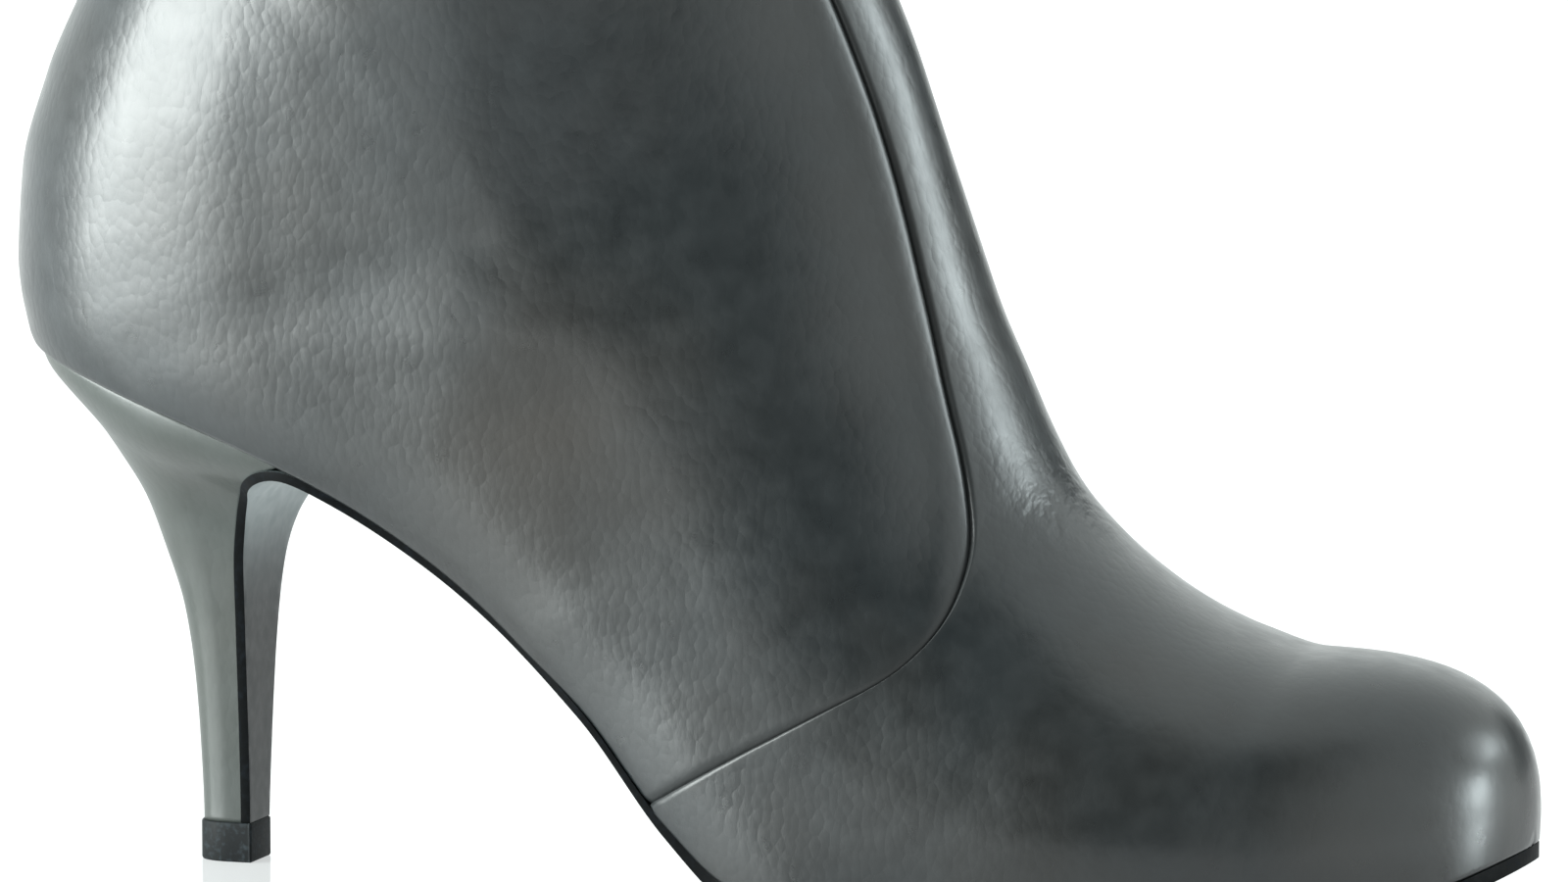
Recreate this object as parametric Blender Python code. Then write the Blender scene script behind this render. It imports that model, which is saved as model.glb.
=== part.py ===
"""Heeled ankle boot for the right foot: leather upper, thin sole and a tall covered heel.

The toe points along +X, the outer side of the foot faces -Y, and the boot stands on Z = 0.
Every piece is cut from two closed forms, the last and the heel block, by outlines drawn in
side view. Lengths in this file are millimetres; the meshes are built in metres.
"""

import math
from collections import namedtuple

import bmesh
import bpy

MM = 0.001

# Driving sizes of the boot
LENGTH = 231.0
BALL_WIDTH = 79.0
INSTEP_HEIGHT = 61.2
HEEL_HEIGHT = 78.6
COLLAR_HEIGHT = 192.0
WALL = 1.8
VAMP_LAP = 0.8
INSOLE_THICKNESS = 2.2
SOLE_THICKNESS = 2.7
WAIST_THICKNESS = 1.5
SOLE_EDGE = 1.0
TOP_PIECE_HEIGHT = 6.0
TOP_PIECE_EDGE = 0.3
GAP = 0.3

# Toe: from the ball on, the plan outline rounds in to the tip, and from the first section of the
# table on, the height rounds down as well
BALL_X = 166.0
TIP_X = LENGTH - SOLE_EDGE
TOE_ROUNDNESS = 2.3
NOSE_SQUARENESS = 3.0
NOSE_SWING = 1.5
NOSE_RINGS = 8
NOSE_SWEEP = math.radians(88.0)

# Sole: where the heel's lip ends on it, how far ahead of the flap it runs straight, where the
# thin waist ends and where the flat tread begins
HEEL_LIP_X = 48.6
FLAP_TURN = 5.0
WAIST_END = 97.0
TREAD_START = 134.0

# Fineness of the forms
RING_POINTS = 34
RINGS_PER_SPAN = 2
LINE_PARTS = 3
LINE_STEP = 5.0
FORM_REACH = 90.0

# Sections of the last from the toe, over the instep and heel, to the collar. Each is a closed
# curve in the plane through its back (or under) point and its front (or ridge) point, x from the
# back of the boot and z from the floor. outer and inner are half widths as shares of half the
# ball width, swing is the shift to the inner side, belly says where along the section it is
# widest, and low and high are the squareness of its two ends (2 is an ellipse).
Section = namedtuple("Section", "back_x back_z front_x front_z outer inner swing belly low high")
LAST = [
    Section(195.0, -13.0, 199.0, 37.5, 0.99, 0.99, 3.0, 0.47, 2.4, 2.2),
    Section(179.0, -13.0, 189.0, 40.1, 1.00, 1.00, 1.8, 0.44, 2.5, 2.1),
    Section(161.0, -13.0, 179.0, 45.6, 1.00, 1.00, 0.8, 0.42, 2.6, 2.0),
    Section(143.0, -12.0, 168.8, 53.6, 0.98, 0.98, 0.3, 0.41, 2.7, 2.0),
    Section(123.0, -9.0, 162.4, INSTEP_HEIGHT, 0.95, 0.92, 0.0, 0.41, 2.8, 2.0),
    Section(106.0, 4.0, 158.5, 68.5, 0.92, 0.85, 0.0, 0.43, 2.9, 2.0),
    Section(91.0, 22.0, 154.6, 77.5, 0.89, 0.80, 0.0, 0.45, 2.9, 2.0),
    Section(74.0, 39.0, 150.5, 87.0, 0.86, 0.76, 0.0, 0.48, 2.9, 2.0),
    Section(55.0, 52.0, 147.0, 97.0, 0.86, 0.78, 0.0, 0.50, 3.1, 2.0),
    Section(33.0, 61.5, 143.4, 107.5, 0.86, 0.81, 0.0, 0.50, 3.4, 2.0),
    Section(13.0, 70.0, 140.4, 116.5, 0.86, 0.83, 0.0, 0.50, 3.0, 2.0),
    Section(3.0, 80.0, 137.6, 124.5, 0.88, 0.86, 0.0, 0.49, 2.5, 2.0),
    Section(0.8, 91.0, 134.7, 131.5, 0.90, 0.89, 0.0, 0.48, 2.3, 2.0),
    Section(1.5, 104.0, 131.1, 139.5, 0.92, 0.91, 0.0, 0.47, 2.2, 2.0),
    Section(5.4, 118.0, 127.2, 148.0, 0.94, 0.93, 0.0, 0.47, 2.1, 2.0),
    Section(12.9, 134.0, 123.0, 158.0, 0.95, 0.94, 0.0, 0.48, 2.1, 2.0),
    Section(19.5, 152.0, 119.0, 170.0, 0.95, 0.95, 0.0, 0.49, 2.1, 2.1),
    Section(24.0, 172.0, 116.0, 182.0, 0.95, 0.95, 0.0, 0.50, 2.1, 2.1),
    Section(26.0, 192.0, 114.5, 192.0, 0.95, 0.95, 0.0, 0.50, 2.1, 2.1),
    Section(26.4, 202.0, 114.0, 202.0, 0.95, 0.95, 0.0, 0.50, 2.1, 2.1),
]

# Sections of the heel block from the floor to above the seat, in the same columns. Its front
# stays ahead of the breast, where the outlines below cut it off square.
HEEL_BLOCK = [
    Section(28.0, -4.0, 38.6, -4.0, 0.092, 0.092, 0.0, 0.50, 2.3, 7.0),
    Section(28.0, 6.0, 38.6, 6.0, 0.094, 0.094, 0.0, 0.50, 2.3, 7.0),
    Section(27.6, 18.0, 38.8, 17.6, 0.114, 0.114, 0.0, 0.50, 2.3, 7.0),
    Section(26.8, 28.5, 39.0, 27.5, 0.142, 0.142, 0.0, 0.50, 2.3, 7.0),
    Section(25.3, 38.4, 39.4, 36.6, 0.178, 0.178, 0.0, 0.50, 2.3, 7.0),
    Section(22.6, 47.3, 40.4, 44.4, 0.222, 0.222, 0.0, 0.50, 2.3, 7.0),
    Section(19.6, 55.4, 42.3, 51.0, 0.290, 0.290, 0.0, 0.50, 2.2, 7.0),
    Section(15.8, 62.2, 46.0, 55.6, 0.410, 0.405, 0.0, 0.50, 2.1, 6.0),
    Section(11.8, 68.0, 52.0, 57.5, 0.550, 0.530, 0.0, 0.50, 2.0, 5.0),
    Section(7.6, 73.2, 60.0, 59.0, 0.640, 0.605, 0.0, 0.52, 1.9, 5.0),
    Section(3.8, 78.2, 66.0, 62.0, 0.700, 0.662, 0.0, 0.54, 1.9, 5.0),
    Section(1.6, 85.0, 70.0, 68.0, 0.720, 0.680, 0.0, 0.54, 1.9, 5.0),
]

# Side outlines: the line where the upper meets heel and sole, the front of the sole's flap down
# the breast of the heel, and the seam where the front panel laps over the quarter
Point = namedtuple("Point", "x z")
SOLE_LINE = [
    Point(-6.0, HEEL_HEIGHT + 2.8),
    Point(19.0, 74.3),
    Point(49.0, 63.5),
    Point(73.0, 49.9),
    Point(WAIST_END, 29.6),
    Point(111.0, 13.2),
    Point(121.0, 5.4),
    Point(TREAD_START, 3.0),
    Point(173.0, 3.0),
    Point(204.0, 4.8),
    Point(237.0, 13.4),
]
BREAST = [
    Point(36.3, 6.3),
    Point(36.5, 33.0),
    Point(36.9, 45.0),
    Point(38.2, 53.0),
    Point(41.2, 58.7),
    Point(46.6, 61.2),
]
VAMP_SEAM = [
    Point(100.0, 212.0),
    Point(104.5, 192.0),
    Point(114.0, 165.0),
    Point(130.6, 132.3),
    Point(140.7, 105.7),
    Point(148.8, 79.5),
    Point(154.2, 61.2),
    Point(154.6, 48.0),
    Point(149.5, 40.0),
    Point(137.0, 32.1),
    Point(119.3, 22.6),
    Point(104.0, 14.0),
]

Finish = namedtuple("Finish", "name colour roughness")
UPPER_LEATHER = Finish("grey_smooth_leather", (0.067, 0.078, 0.078), 0.36)
HEEL_LEATHER = Finish("grey_heel_leather", (0.19, 0.22, 0.205), 0.48)
SOLE_LEATHER = Finish("black_sole_leather", (0.012, 0.014, 0.015), 0.34)
TOP_PIECE_RUBBER = Finish("black_rubber", (0.018, 0.022, 0.025), 0.62)
INSOLE_LEATHER = Finish("grey_lining_leather", (0.16, 0.155, 0.15), 0.6)


def slopes(places, values):
    """Slope at each place that keeps a smooth curve from overshooting its points."""
    spans = range(len(values) - 1)
    steps = [(values[i + 1] - values[i]) / (places[i + 1] - places[i]) for i in spans]
    inner = [2 * a * b / (a + b) if a * b > 0 else 0.0 for a, b in zip(steps, steps[1:])]
    return [steps[0]] + inner + [steps[-1]]


def curve_value(places, values, at):
    """Value at one place of the smooth curve through the given points."""
    tangents = slopes(places, values)
    span = 0
    while span < len(places) - 2 and at > places[span + 1]:
        span += 1
    width = places[span + 1] - places[span]
    t = (at - places[span]) / width
    start = (1 + 2 * t) * (1 - t) ** 2 * values[span] + t * (1 - t) ** 2 * width * tangents[span]
    end = t * t * (3 - 2 * t) * values[span + 1] - t * t * (1 - t) * width * tangents[span + 1]
    return start + end


def between(table, parts_per_span):
    """Rows of a table with smooth rows put in between, so many to a span."""
    row_type = type(table[0])
    numbers = list(range(len(table)))
    columns = list(zip(*table))
    count = (len(table) - 1) * parts_per_span
    rows = []
    for index in range(count + 1):
        at = index / parts_per_span
        rows.append(row_type(*(curve_value(numbers, column, at) for column in columns)))
    return rows


def sole_height(x):
    """Height of the line on which the upper meets heel and sole."""
    return curve_value([p.x for p in SOLE_LINE], [p.z for p in SOLE_LINE], x)


def sole_thickness(x):
    """The sole is thin through the waist and thicker under the ball and toe."""
    share = min(max((x - WAIST_END) / (TREAD_START - WAIST_END), 0.0), 1.0)
    return WAIST_THICKNESS + (SOLE_THICKNESS - WAIST_THICKNESS) * share * share * (3 - 2 * share)


def power(value, exponent):
    """Power of a number that keeps the number's sign."""
    return math.copysign(abs(value) ** exponent, value)


def ring(section):
    """Closed curve of one section, as points in millimetres."""
    points = []
    for index in range(RING_POINTS):
        angle = 2 * math.pi * index / RING_POINTS
        up = -math.cos(angle)
        out = math.sin(angle)
        squareness = section.high if up > 0 else section.low
        reach = (1 - section.belly) if up > 0 else section.belly
        along = section.belly + reach * power(up, 2 / squareness)
        side = section.outer if out > 0 else section.inner
        half_width = side * BALL_WIDTH / 2
        x = section.back_x + (section.front_x - section.back_x) * along
        z = section.back_z + (section.front_z - section.back_z) * along
        points.append((x, section.swing - half_width * power(out, 2 / squareness), z))
    return points


def rounding(share, squareness):
    """Height of a rounded end of height one, at a share of its length."""
    return (1 - share ** squareness) ** (1 / squareness)


def nose_sections(root):
    """Sections that close the toe of the last as a blunt rounded nose."""
    sections = []
    middle_x = root.back_x + (root.front_x - root.back_x) * root.belly
    middle_z = root.back_z + (root.front_z - root.back_z) * root.belly
    for index in range(NOSE_RINGS, 0, -1):
        ahead = math.sin(NOSE_SWEEP * index / NOSE_RINGS)
        size = rounding(ahead, NOSE_SQUARENESS)
        x = middle_x + ahead * (TIP_X - middle_x)
        sections.append(root._replace(
            back_x=x + (root.back_x - middle_x) * size,
            front_x=x + (root.front_x - middle_x) * size,
            back_z=middle_z + (root.back_z - middle_z) * size,
            front_z=middle_z + (root.front_z - middle_z) * size,
            swing=root.swing + NOSE_SWING * ahead,
        ))
    return sections


def round_the_toe(section):
    """Draw a section in to the rounded plan outline of the toe."""
    x = section.back_x + (section.front_x - section.back_x) * section.belly
    share = max((x - BALL_X) / (TIP_X - BALL_X), 0.0)
    size = rounding(share, TOE_ROUNDNESS)
    return section._replace(outer=section.outer * size, inner=section.inner * size)


def new_object(name, mesh, collection):
    """Object of a mesh, hung on the boot's empty."""
    obj = bpy.data.objects.new(name, mesh)
    collection.objects.link(obj)
    obj.parent = boot_origin
    return obj


def as_cutter(obj):
    """Form that only cuts others: drawn as wires and left out of the boot."""
    obj.hide_render = True
    obj.display_type = "WIRE"
    return obj


def loft(name, sections, offset, collection):
    """Closed form through the sections, moved out (or in) along its normals by an offset."""
    bm = bmesh.new()
    rings = [[bm.verts.new([c * MM for c in p]) for p in ring(s)] for s in sections]
    for near, far in zip(rings, rings[1:]):
        for i in range(RING_POINTS):
            j = (i + 1) % RING_POINTS
            bm.faces.new((near[i], near[j], far[j], far[i]))
    bm.faces.new(list(reversed(rings[0])))
    bm.faces.new(rings[-1])
    bmesh.ops.recalc_face_normals(bm, faces=bm.faces)
    bm.normal_update()
    moved = [vert.co + vert.normal * offset * MM for vert in bm.verts]
    for vert, place in zip(bm.verts, moved):
        vert.co = place
    mesh = bpy.data.meshes.new(name)
    bm.to_mesh(mesh)
    bm.free()
    return new_object(name, mesh, collection)


def side_cutter(name, outline):
    """Solid of a side outline, drawn right across the boot."""
    bm = bmesh.new()
    face = bm.faces.new([bm.verts.new((x * MM, -FORM_REACH * MM, z * MM)) for x, z in outline])
    across = bmesh.ops.extrude_face_region(bm, geom=[face])["geom"]
    moved = [item for item in across if isinstance(item, bmesh.types.BMVert)]
    bmesh.ops.translate(bm, verts=moved, vec=(0, 2 * FORM_REACH * MM, 0))
    bmesh.ops.triangulate(bm, faces=[f for f in bm.faces if len(f.verts) > 4])
    bmesh.ops.recalc_face_normals(bm, faces=bm.faces)
    mesh = bpy.data.meshes.new(name)
    bm.to_mesh(mesh)
    bm.free()
    return as_cutter(new_object(name, mesh, cutters))


def combine(obj, operation, other):
    """Boolean of one form with another, kept live on the object."""
    modifier = obj.modifiers.new(operation.lower() + "_" + other.name, "BOOLEAN")
    modifier.operation = operation
    modifier.solver = "EXACT"
    modifier.object = other


def finish(obj, look):
    """Give a piece its material and smooth shading."""
    material = bpy.data.materials.new(look.name)
    material.use_nodes = True
    shader = material.node_tree.nodes["Principled BSDF"]
    shader.inputs["Base Color"].default_value = (*look.colour, 1.0)
    shader.inputs["Roughness"].default_value = look.roughness
    shader.inputs["Metallic"].default_value = 0.0
    obj.data.materials.append(material)
    obj.data.shade_smooth()


def even_places(start, end):
    """Even places along X from start to end, about one line step apart."""
    count = max(2, round(abs(end - start) / LINE_STEP))
    return [start + (end - start) * i / count for i in range(count + 1)]


def sole_points(start, end, lift):
    """Points on the sole line between two places, raised by a lift."""
    return [(x, sole_height(x) + lift) for x in even_places(start, end)]


def breast_points(back):
    """Points up the breast of the heel, moved back square to it by a distance."""
    fine = between(BREAST, LINE_PARTS)
    points = []
    for i, here in enumerate(fine):
        before = fine[max(i - 1, 0)]
        after = fine[min(i + 1, len(fine) - 1)]
        ahead, up = after.x - before.x, after.z - before.z
        run = math.hypot(ahead, up)
        points.append((here.x - back * up / run, here.z + back * ahead / run))
    return points


def build_upper(last):
    """Hollow upper: the last's skin, with the front panel standing proud of the quarter."""
    front, back = SOLE_LINE[-1].x, SOLE_LINE[0].x
    upper = loft("upper", last, 0.0, parts)
    seam = between(VAMP_SEAM, LINE_PARTS)
    ahead, below = front + FORM_REACH, -FORM_REACH
    panel_outline = seam + [(seam[-1].x, below), (ahead, below), (ahead, seam[0].z)]
    panel = as_cutter(loft("front_panel_form", last, VAMP_LAP, cutters))
    combine(panel, "INTERSECT", side_cutter("front_panel_outline", panel_outline))
    inside = as_cutter(loft("foot_space_form", last, -WALL, cutters))
    outline = sole_points(back, front, 0.0) + [(front, COLLAR_HEIGHT), (back, COLLAR_HEIGHT)]
    combine(upper, "UNION", panel)
    combine(upper, "DIFFERENCE", inside)
    combine(upper, "INTERSECT", side_cutter("upper_outline", outline))
    finish(upper, UPPER_LEATHER)


def build_insole(last):
    """Insole that fills the bottom of the foot space."""
    front, back = SOLE_LINE[-1].x, SOLE_LINE[0].x
    insole = loft("insole", last, -WALL - GAP, parts)
    outline = sole_points(back, front, 0.0) + sole_points(front, back, INSOLE_THICKNESS)
    combine(insole, "INTERSECT", side_cutter("insole_outline", outline))
    finish(insole, INSOLE_LEATHER)


def build_outsole(last, heel_block):
    """Thin sole from the toe to the arch, with its flap down the breast of the heel."""
    front = SOLE_LINE[-1].x
    waist_start = BREAST[-1].x + FLAP_TURN
    outsole = loft("outsole", last, SOLE_EDGE, parts)
    combine(outsole, "UNION", as_cutter(loft("flap_form", heel_block, 0.0, cutters)))
    outline = sole_points(front, HEEL_LIP_X, -GAP)
    outline += list(reversed(breast_points(WAIST_THICKNESS)))
    outline += breast_points(0.0)
    for x in even_places(waist_start, front):
        outline.append((x, sole_height(x) - GAP - sole_thickness(x)))
    combine(outsole, "INTERSECT", side_cutter("outsole_outline", outline))
    finish(outsole, SOLE_LEATHER)


def build_heel(heel_block):
    """Covered heel between the seat of the upper, the flap and the top piece."""
    back = SOLE_LINE[0].x
    heel = loft("heel", heel_block, 0.0, parts)
    outline = sole_points(back, HEEL_LIP_X - GAP, -GAP)
    outline += list(reversed(breast_points(WAIST_THICKNESS + GAP)))
    outline += [(back, TOP_PIECE_HEIGHT + GAP)]
    combine(heel, "INTERSECT", side_cutter("heel_outline", outline))
    finish(heel, HEEL_LEATHER)


def build_top_piece(heel_block):
    """Flat piece under the heel, a little wider than it."""
    piece = loft("heel_top_piece", heel_block, TOP_PIECE_EDGE, parts)
    front = BREAST[0].x + TOP_PIECE_EDGE
    outline = [(0.0, 0.0), (front, 0.0), (front, TOP_PIECE_HEIGHT), (0.0, TOP_PIECE_HEIGHT)]
    combine(piece, "INTERSECT", side_cutter("top_piece_outline", outline))
    finish(piece, TOP_PIECE_RUBBER)


def centre_on_origin():
    """Move the boot so that the middle of its footprint box is over the origin."""
    bpy.context.view_layer.update()
    graph = bpy.context.evaluated_depsgraph_get()
    corners = [corner for obj in parts.objects for corner in obj.evaluated_get(graph).bound_box]
    for axis in (0, 1):
        values = [corner[axis] for corner in corners]
        boot_origin.location[axis] = -(min(values) + max(values)) / 2


for old in list(bpy.data.objects):
    bpy.data.objects.remove(old, do_unlink=True)

parts = bpy.data.collections.new("heeled_boot")
cutters = bpy.data.collections.new("cutters")
bpy.context.scene.collection.children.link(parts)
bpy.context.scene.collection.children.link(cutters)
boot_origin = bpy.data.objects.new("boot_origin", None)
bpy.context.scene.collection.objects.link(boot_origin)

last_rows = between(LAST, RINGS_PER_SPAN)
last_sections = [round_the_toe(section) for section in nose_sections(last_rows[0]) + last_rows]
heel_sections = between(HEEL_BLOCK, RINGS_PER_SPAN)
build_upper(last_sections)
build_insole(last_sections)
build_outsole(last_sections, heel_sections)
build_heel(heel_sections)
build_top_piece(heel_sections)
centre_on_origin()
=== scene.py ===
# %% [markdown]
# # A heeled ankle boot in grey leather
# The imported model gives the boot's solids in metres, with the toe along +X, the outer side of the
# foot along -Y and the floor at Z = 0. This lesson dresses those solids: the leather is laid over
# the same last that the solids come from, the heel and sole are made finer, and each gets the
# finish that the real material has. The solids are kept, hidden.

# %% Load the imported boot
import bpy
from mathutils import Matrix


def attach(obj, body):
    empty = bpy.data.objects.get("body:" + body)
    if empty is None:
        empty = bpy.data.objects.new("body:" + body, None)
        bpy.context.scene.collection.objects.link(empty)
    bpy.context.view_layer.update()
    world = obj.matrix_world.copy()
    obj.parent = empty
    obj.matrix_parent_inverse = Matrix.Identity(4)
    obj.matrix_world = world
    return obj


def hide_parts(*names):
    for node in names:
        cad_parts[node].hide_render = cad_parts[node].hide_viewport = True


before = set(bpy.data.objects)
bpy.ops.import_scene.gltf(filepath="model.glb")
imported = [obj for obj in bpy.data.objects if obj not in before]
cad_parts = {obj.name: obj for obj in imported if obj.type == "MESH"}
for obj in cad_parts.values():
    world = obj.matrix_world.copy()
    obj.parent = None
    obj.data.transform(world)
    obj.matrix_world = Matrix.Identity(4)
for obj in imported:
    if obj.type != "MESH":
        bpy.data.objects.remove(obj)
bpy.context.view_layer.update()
print("solids:", sorted(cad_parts))

# %% [markdown]
# ## The last
# A shoemaker pulls flat leather over a last, a wooden foot. The last could be sculpted, but a boot
# is drawn by sections: each row below is one closed curve in the plane through its back (or under)
# point and its front (or ridge) point. The rows run from the toe over the instep and heel to the
# collar, in millimetres from the back of the boot and from the floor. Half widths are shares of half
# the ball width, and low and high are the squareness of a section's two ends, where 2 is an ellipse.

# %% Sizes and sections of the last
import math

import bmesh
import bpy
import numpy as np

MM = 0.001
BACK_X, MIDDLE_Y = -115.919, -0.893
BALL_WIDTH, BALL_X = 79.0, 166.0
TIP_X, TOE_ROUNDNESS = 230.3, 2.12
NOSE_SQUARENESS, NOSE_SWING, NOSE_SLOPE = 2.85, 2.5, 0.03
COLUMNS = "back_x back_z front_x front_z outer inner swing belly low high".split()
LAST = np.array([
    (195.0, -13.0, 199.0, 37.5, 0.99, 0.99, 3.0, 0.46, 2.5, 2.2),
    (179.0, -13.0, 189.0, 40.4, 1.00, 1.00, 1.8, 0.45, 2.5, 2.1),
    (161.0, -13.0, 179.0, 45.6, 1.00, 1.00, 0.8, 0.43, 2.6, 2.0),
    (143.0, -12.0, 168.8, 53.6, 0.98, 0.98, 0.3, 0.41, 2.7, 2.0),
    (123.0, -9.0, 162.4, 61.2, 0.95, 0.92, 0.0, 0.41, 2.8, 2.0),
    (106.0, 4.0, 158.5, 68.5, 0.92, 0.85, 0.0, 0.43, 2.9, 2.0),
    (91.0, 22.0, 154.6, 77.5, 0.89, 0.80, 0.0, 0.45, 2.9, 2.0),
    (74.0, 39.0, 150.5, 87.0, 0.86, 0.76, 0.0, 0.48, 2.9, 2.0),
    (55.0, 52.0, 147.0, 97.0, 0.86, 0.78, 0.0, 0.50, 3.1, 2.0),
    (33.0, 61.5, 143.4, 107.5, 0.86, 0.81, 0.0, 0.50, 3.4, 2.0),
    (13.2, 70.0, 140.4, 116.5, 0.86, 0.83, 0.0, 0.50, 3.0, 2.0),
    (3.5, 80.0, 137.6, 124.5, 0.88, 0.86, 0.0, 0.49, 2.5, 2.0),
    (1.4, 91.0, 134.7, 131.5, 0.90, 0.89, 0.0, 0.48, 2.3, 2.0),
    (2.1, 104.0, 131.1, 139.5, 0.92, 0.91, 0.0, 0.47, 2.2, 2.0),
    (6.0, 118.0, 127.2, 148.0, 0.94, 0.93, 0.0, 0.47, 2.1, 2.0),
    (13.3, 134.0, 123.0, 158.0, 0.95, 0.94, 0.0, 0.48, 2.1, 2.0),
    (19.5, 152.0, 119.0, 170.0, 0.95, 0.95, 0.0, 0.49, 2.1, 2.1),
    (24.0, 172.0, 116.0, 182.0, 0.95, 0.95, 0.0, 0.50, 2.1, 2.1),
    (26.0, 192.0, 114.5, 192.0, 0.95, 0.95, 0.0, 0.50, 2.1, 2.1),
    (26.4, 202.0, 114.0, 202.0, 0.95, 0.95, 0.0, 0.50, 2.1, 2.1),
])
print("last:", len(LAST), "sections")

# %% [markdown]
# ## Smooth curves through short tables
# Between two rows of a table the boot has to run smoothly, and a curve that overshoots its points
# would show as a bump in the gloss. A spline editor could draw it. Here each point gets a slope that
# never makes the curve pass its neighbours, which is the same rule that the solids follow.

# %% A smooth curve, and rounded ends
def smooth(places, values, at, start_slope=None):
    """Value of the smooth curve through some points; it may start with a given slope."""
    places, values, at = (np.asarray(item, float) for item in (places, values, at))
    steps = np.diff(values) / np.diff(places)
    product, total = steps[:-1] * steps[1:], steps[:-1] + steps[1:]
    inner = np.where(product > 0, 2 * product / np.where(product > 0, total, 1.0), 0.0)
    tangents = np.concatenate([[steps[0] if start_slope is None else start_slope], inner, steps[-1:]])
    span = np.clip(np.searchsorted(places, at) - 1, 0, len(places) - 2)
    width = places[span + 1] - places[span]
    t = (at - places[span]) / width
    start = (1 + 2 * t) * (1 - t) ** 2 * values[span] + t * (1 - t) ** 2 * width * tangents[span]
    end = t * t * (3 - 2 * t) * values[span + 1] - t * t * (1 - t) * width * tangents[span + 1]
    return start + end


def rounding(share, squareness):
    """Height of a rounded end of height one, at a share of its length."""
    return (1 - np.clip(share, 0, 1) ** squareness) ** (1 / squareness)


def ease(value, start, end):
    """Smooth step from 0 at start to 1 at end."""
    share = np.clip((value - start) / (end - start), 0, 1)
    return share * share * (3 - 2 * share)


print("halfway along, a round end is", rounding(0.5, 2.0).round(3), "high")

# %% [markdown]
# ## Sections of the last
# Between two rows of the table every column of it is read from its smooth curve. In front of the first
# row the sections shrink towards the tip, so that the nose closes like a ball, but a little squarer.

# %% Sections of the last
def section(row):
    """Section of the last at a row of the table; rows under zero close the nose, to -1 at the tip."""
    row = np.asarray(row, float)
    numbers = np.arange(len(LAST))
    cut = {}
    for column, name in enumerate(COLUMNS):
        start = NOSE_SLOPE * (LAST[0, 2] - LAST[1, 2]) if name == "front_z" else None
        cut[name] = smooth(numbers, LAST[:, column], np.maximum(row, 0), start)
    middle_x = cut["back_x"] + (cut["front_x"] - cut["back_x"]) * cut["belly"]
    middle_z = cut["back_z"] + (cut["front_z"] - cut["back_z"]) * cut["belly"]
    nose = np.clip(-row, 0, 1)
    ahead = np.sin(ease(nose, 0, 1) * math.pi / 2) ** (2 / NOSE_SQUARENESS)
    size = rounding(ahead, NOSE_SQUARENESS)
    x = middle_x + ahead * (TIP_X - middle_x)
    cut["front_z"] = cut["front_z"] - NOSE_SLOPE * (x - middle_x)
    for end in ("back", "front"):
        cut[end + "_x"] = x + (cut[end + "_x"] - middle_x) * size
        cut[end + "_z"] = middle_z + (cut[end + "_z"] - middle_z) * size
    cut["swing"] = cut["swing"] + NOSE_SWING * ahead
    narrow = rounding((x - BALL_X) / (TIP_X - BALL_X), TOE_ROUNDNESS)
    cut["outer"], cut["inner"] = cut["outer"] * narrow, cut["inner"] * narrow
    return cut


print("widest section is", (section(2.0)["outer"] * BALL_WIDTH).round(1), "mm across")

# %% [markdown]
# ## Points of the last
# A section is two half ovals, one behind its widest place and one before it, and an angle picks a point
# on it. The outward direction there is needed too, because leather lies on the last with a thickness. It
# is square to a small step along the last and one round it.

# %% Points and outward directions
NORMAL_STEP = 1e-3
TINY = 1e-12


def ring_point(cut, angle):
    """Points of a section, at angles from its back (0) by the outer side to its front (pi) and round."""
    up, out = -np.cos(angle), np.sin(angle)
    squareness = np.where(up > 0, cut["high"], cut["low"])
    reach = np.where(up > 0, 1 - cut["belly"], cut["belly"])
    along = cut["belly"] + reach * np.sign(up) * np.abs(up) ** (2 / squareness)
    half = np.where(out > 0, cut["outer"], cut["inner"]) * BALL_WIDTH / 2
    x = cut["back_x"] + (cut["front_x"] - cut["back_x"]) * along
    y = cut["swing"] - half * np.sign(out) * np.abs(out) ** (2 / squareness)
    z = cut["back_z"] + (cut["front_z"] - cut["back_z"]) * along
    return np.stack([x, y, z], axis=-1)


def last_point(row, angle):
    """Points of the last."""
    return ring_point(section(row), angle)


def last_normal(row, angle):
    """Outward direction of the last's surface."""
    across = last_point(row, angle + NORMAL_STEP) - last_point(row, angle - NORMAL_STEP)
    along = last_point(row + NORMAL_STEP, angle) - last_point(row - NORMAL_STEP, angle)
    normal = np.cross(across, along)
    return normal / np.maximum(np.linalg.norm(normal, axis=-1, keepdims=True), TINY)


print("toe ridge at", last_point(0.0, math.pi).round(1))
print("collar front at", last_point(18.0, math.pi).round(1))
print("outer normal at the ball", last_normal(2.0, math.pi / 2).round(2))

# %% [markdown]
# ## A map of the last
# Leather is cut flat, so the last needs a map: a row number, and a share of the way from the back to
# the ridge that is even in millimetres. Angles would do, but they bunch up where a section is square,
# and the grid would then be coarse just where the light plays. So each section is walked once, and
# the walked lengths are kept as the map.

# %% Even shares round each section
MAP_ROWS = np.linspace(-1, 19, 801)
MAP_SHARES = np.linspace(0, 1, 401)
quarter_turn = ease(np.linspace(0, 1, 121), 0, 1) * math.pi / 2
HALF_TURN = np.concatenate([quarter_turn, quarter_turn[1:] + math.pi / 2])


def lengths_along(points):
    """Length walked along lines of points, from 0 at the first point of each."""
    steps = np.linalg.norm(np.diff(points, axis=-2), axis=-1)
    return np.concatenate([np.zeros(steps.shape[:-1] + (1,)), np.cumsum(steps, axis=-1)], axis=-1)


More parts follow.
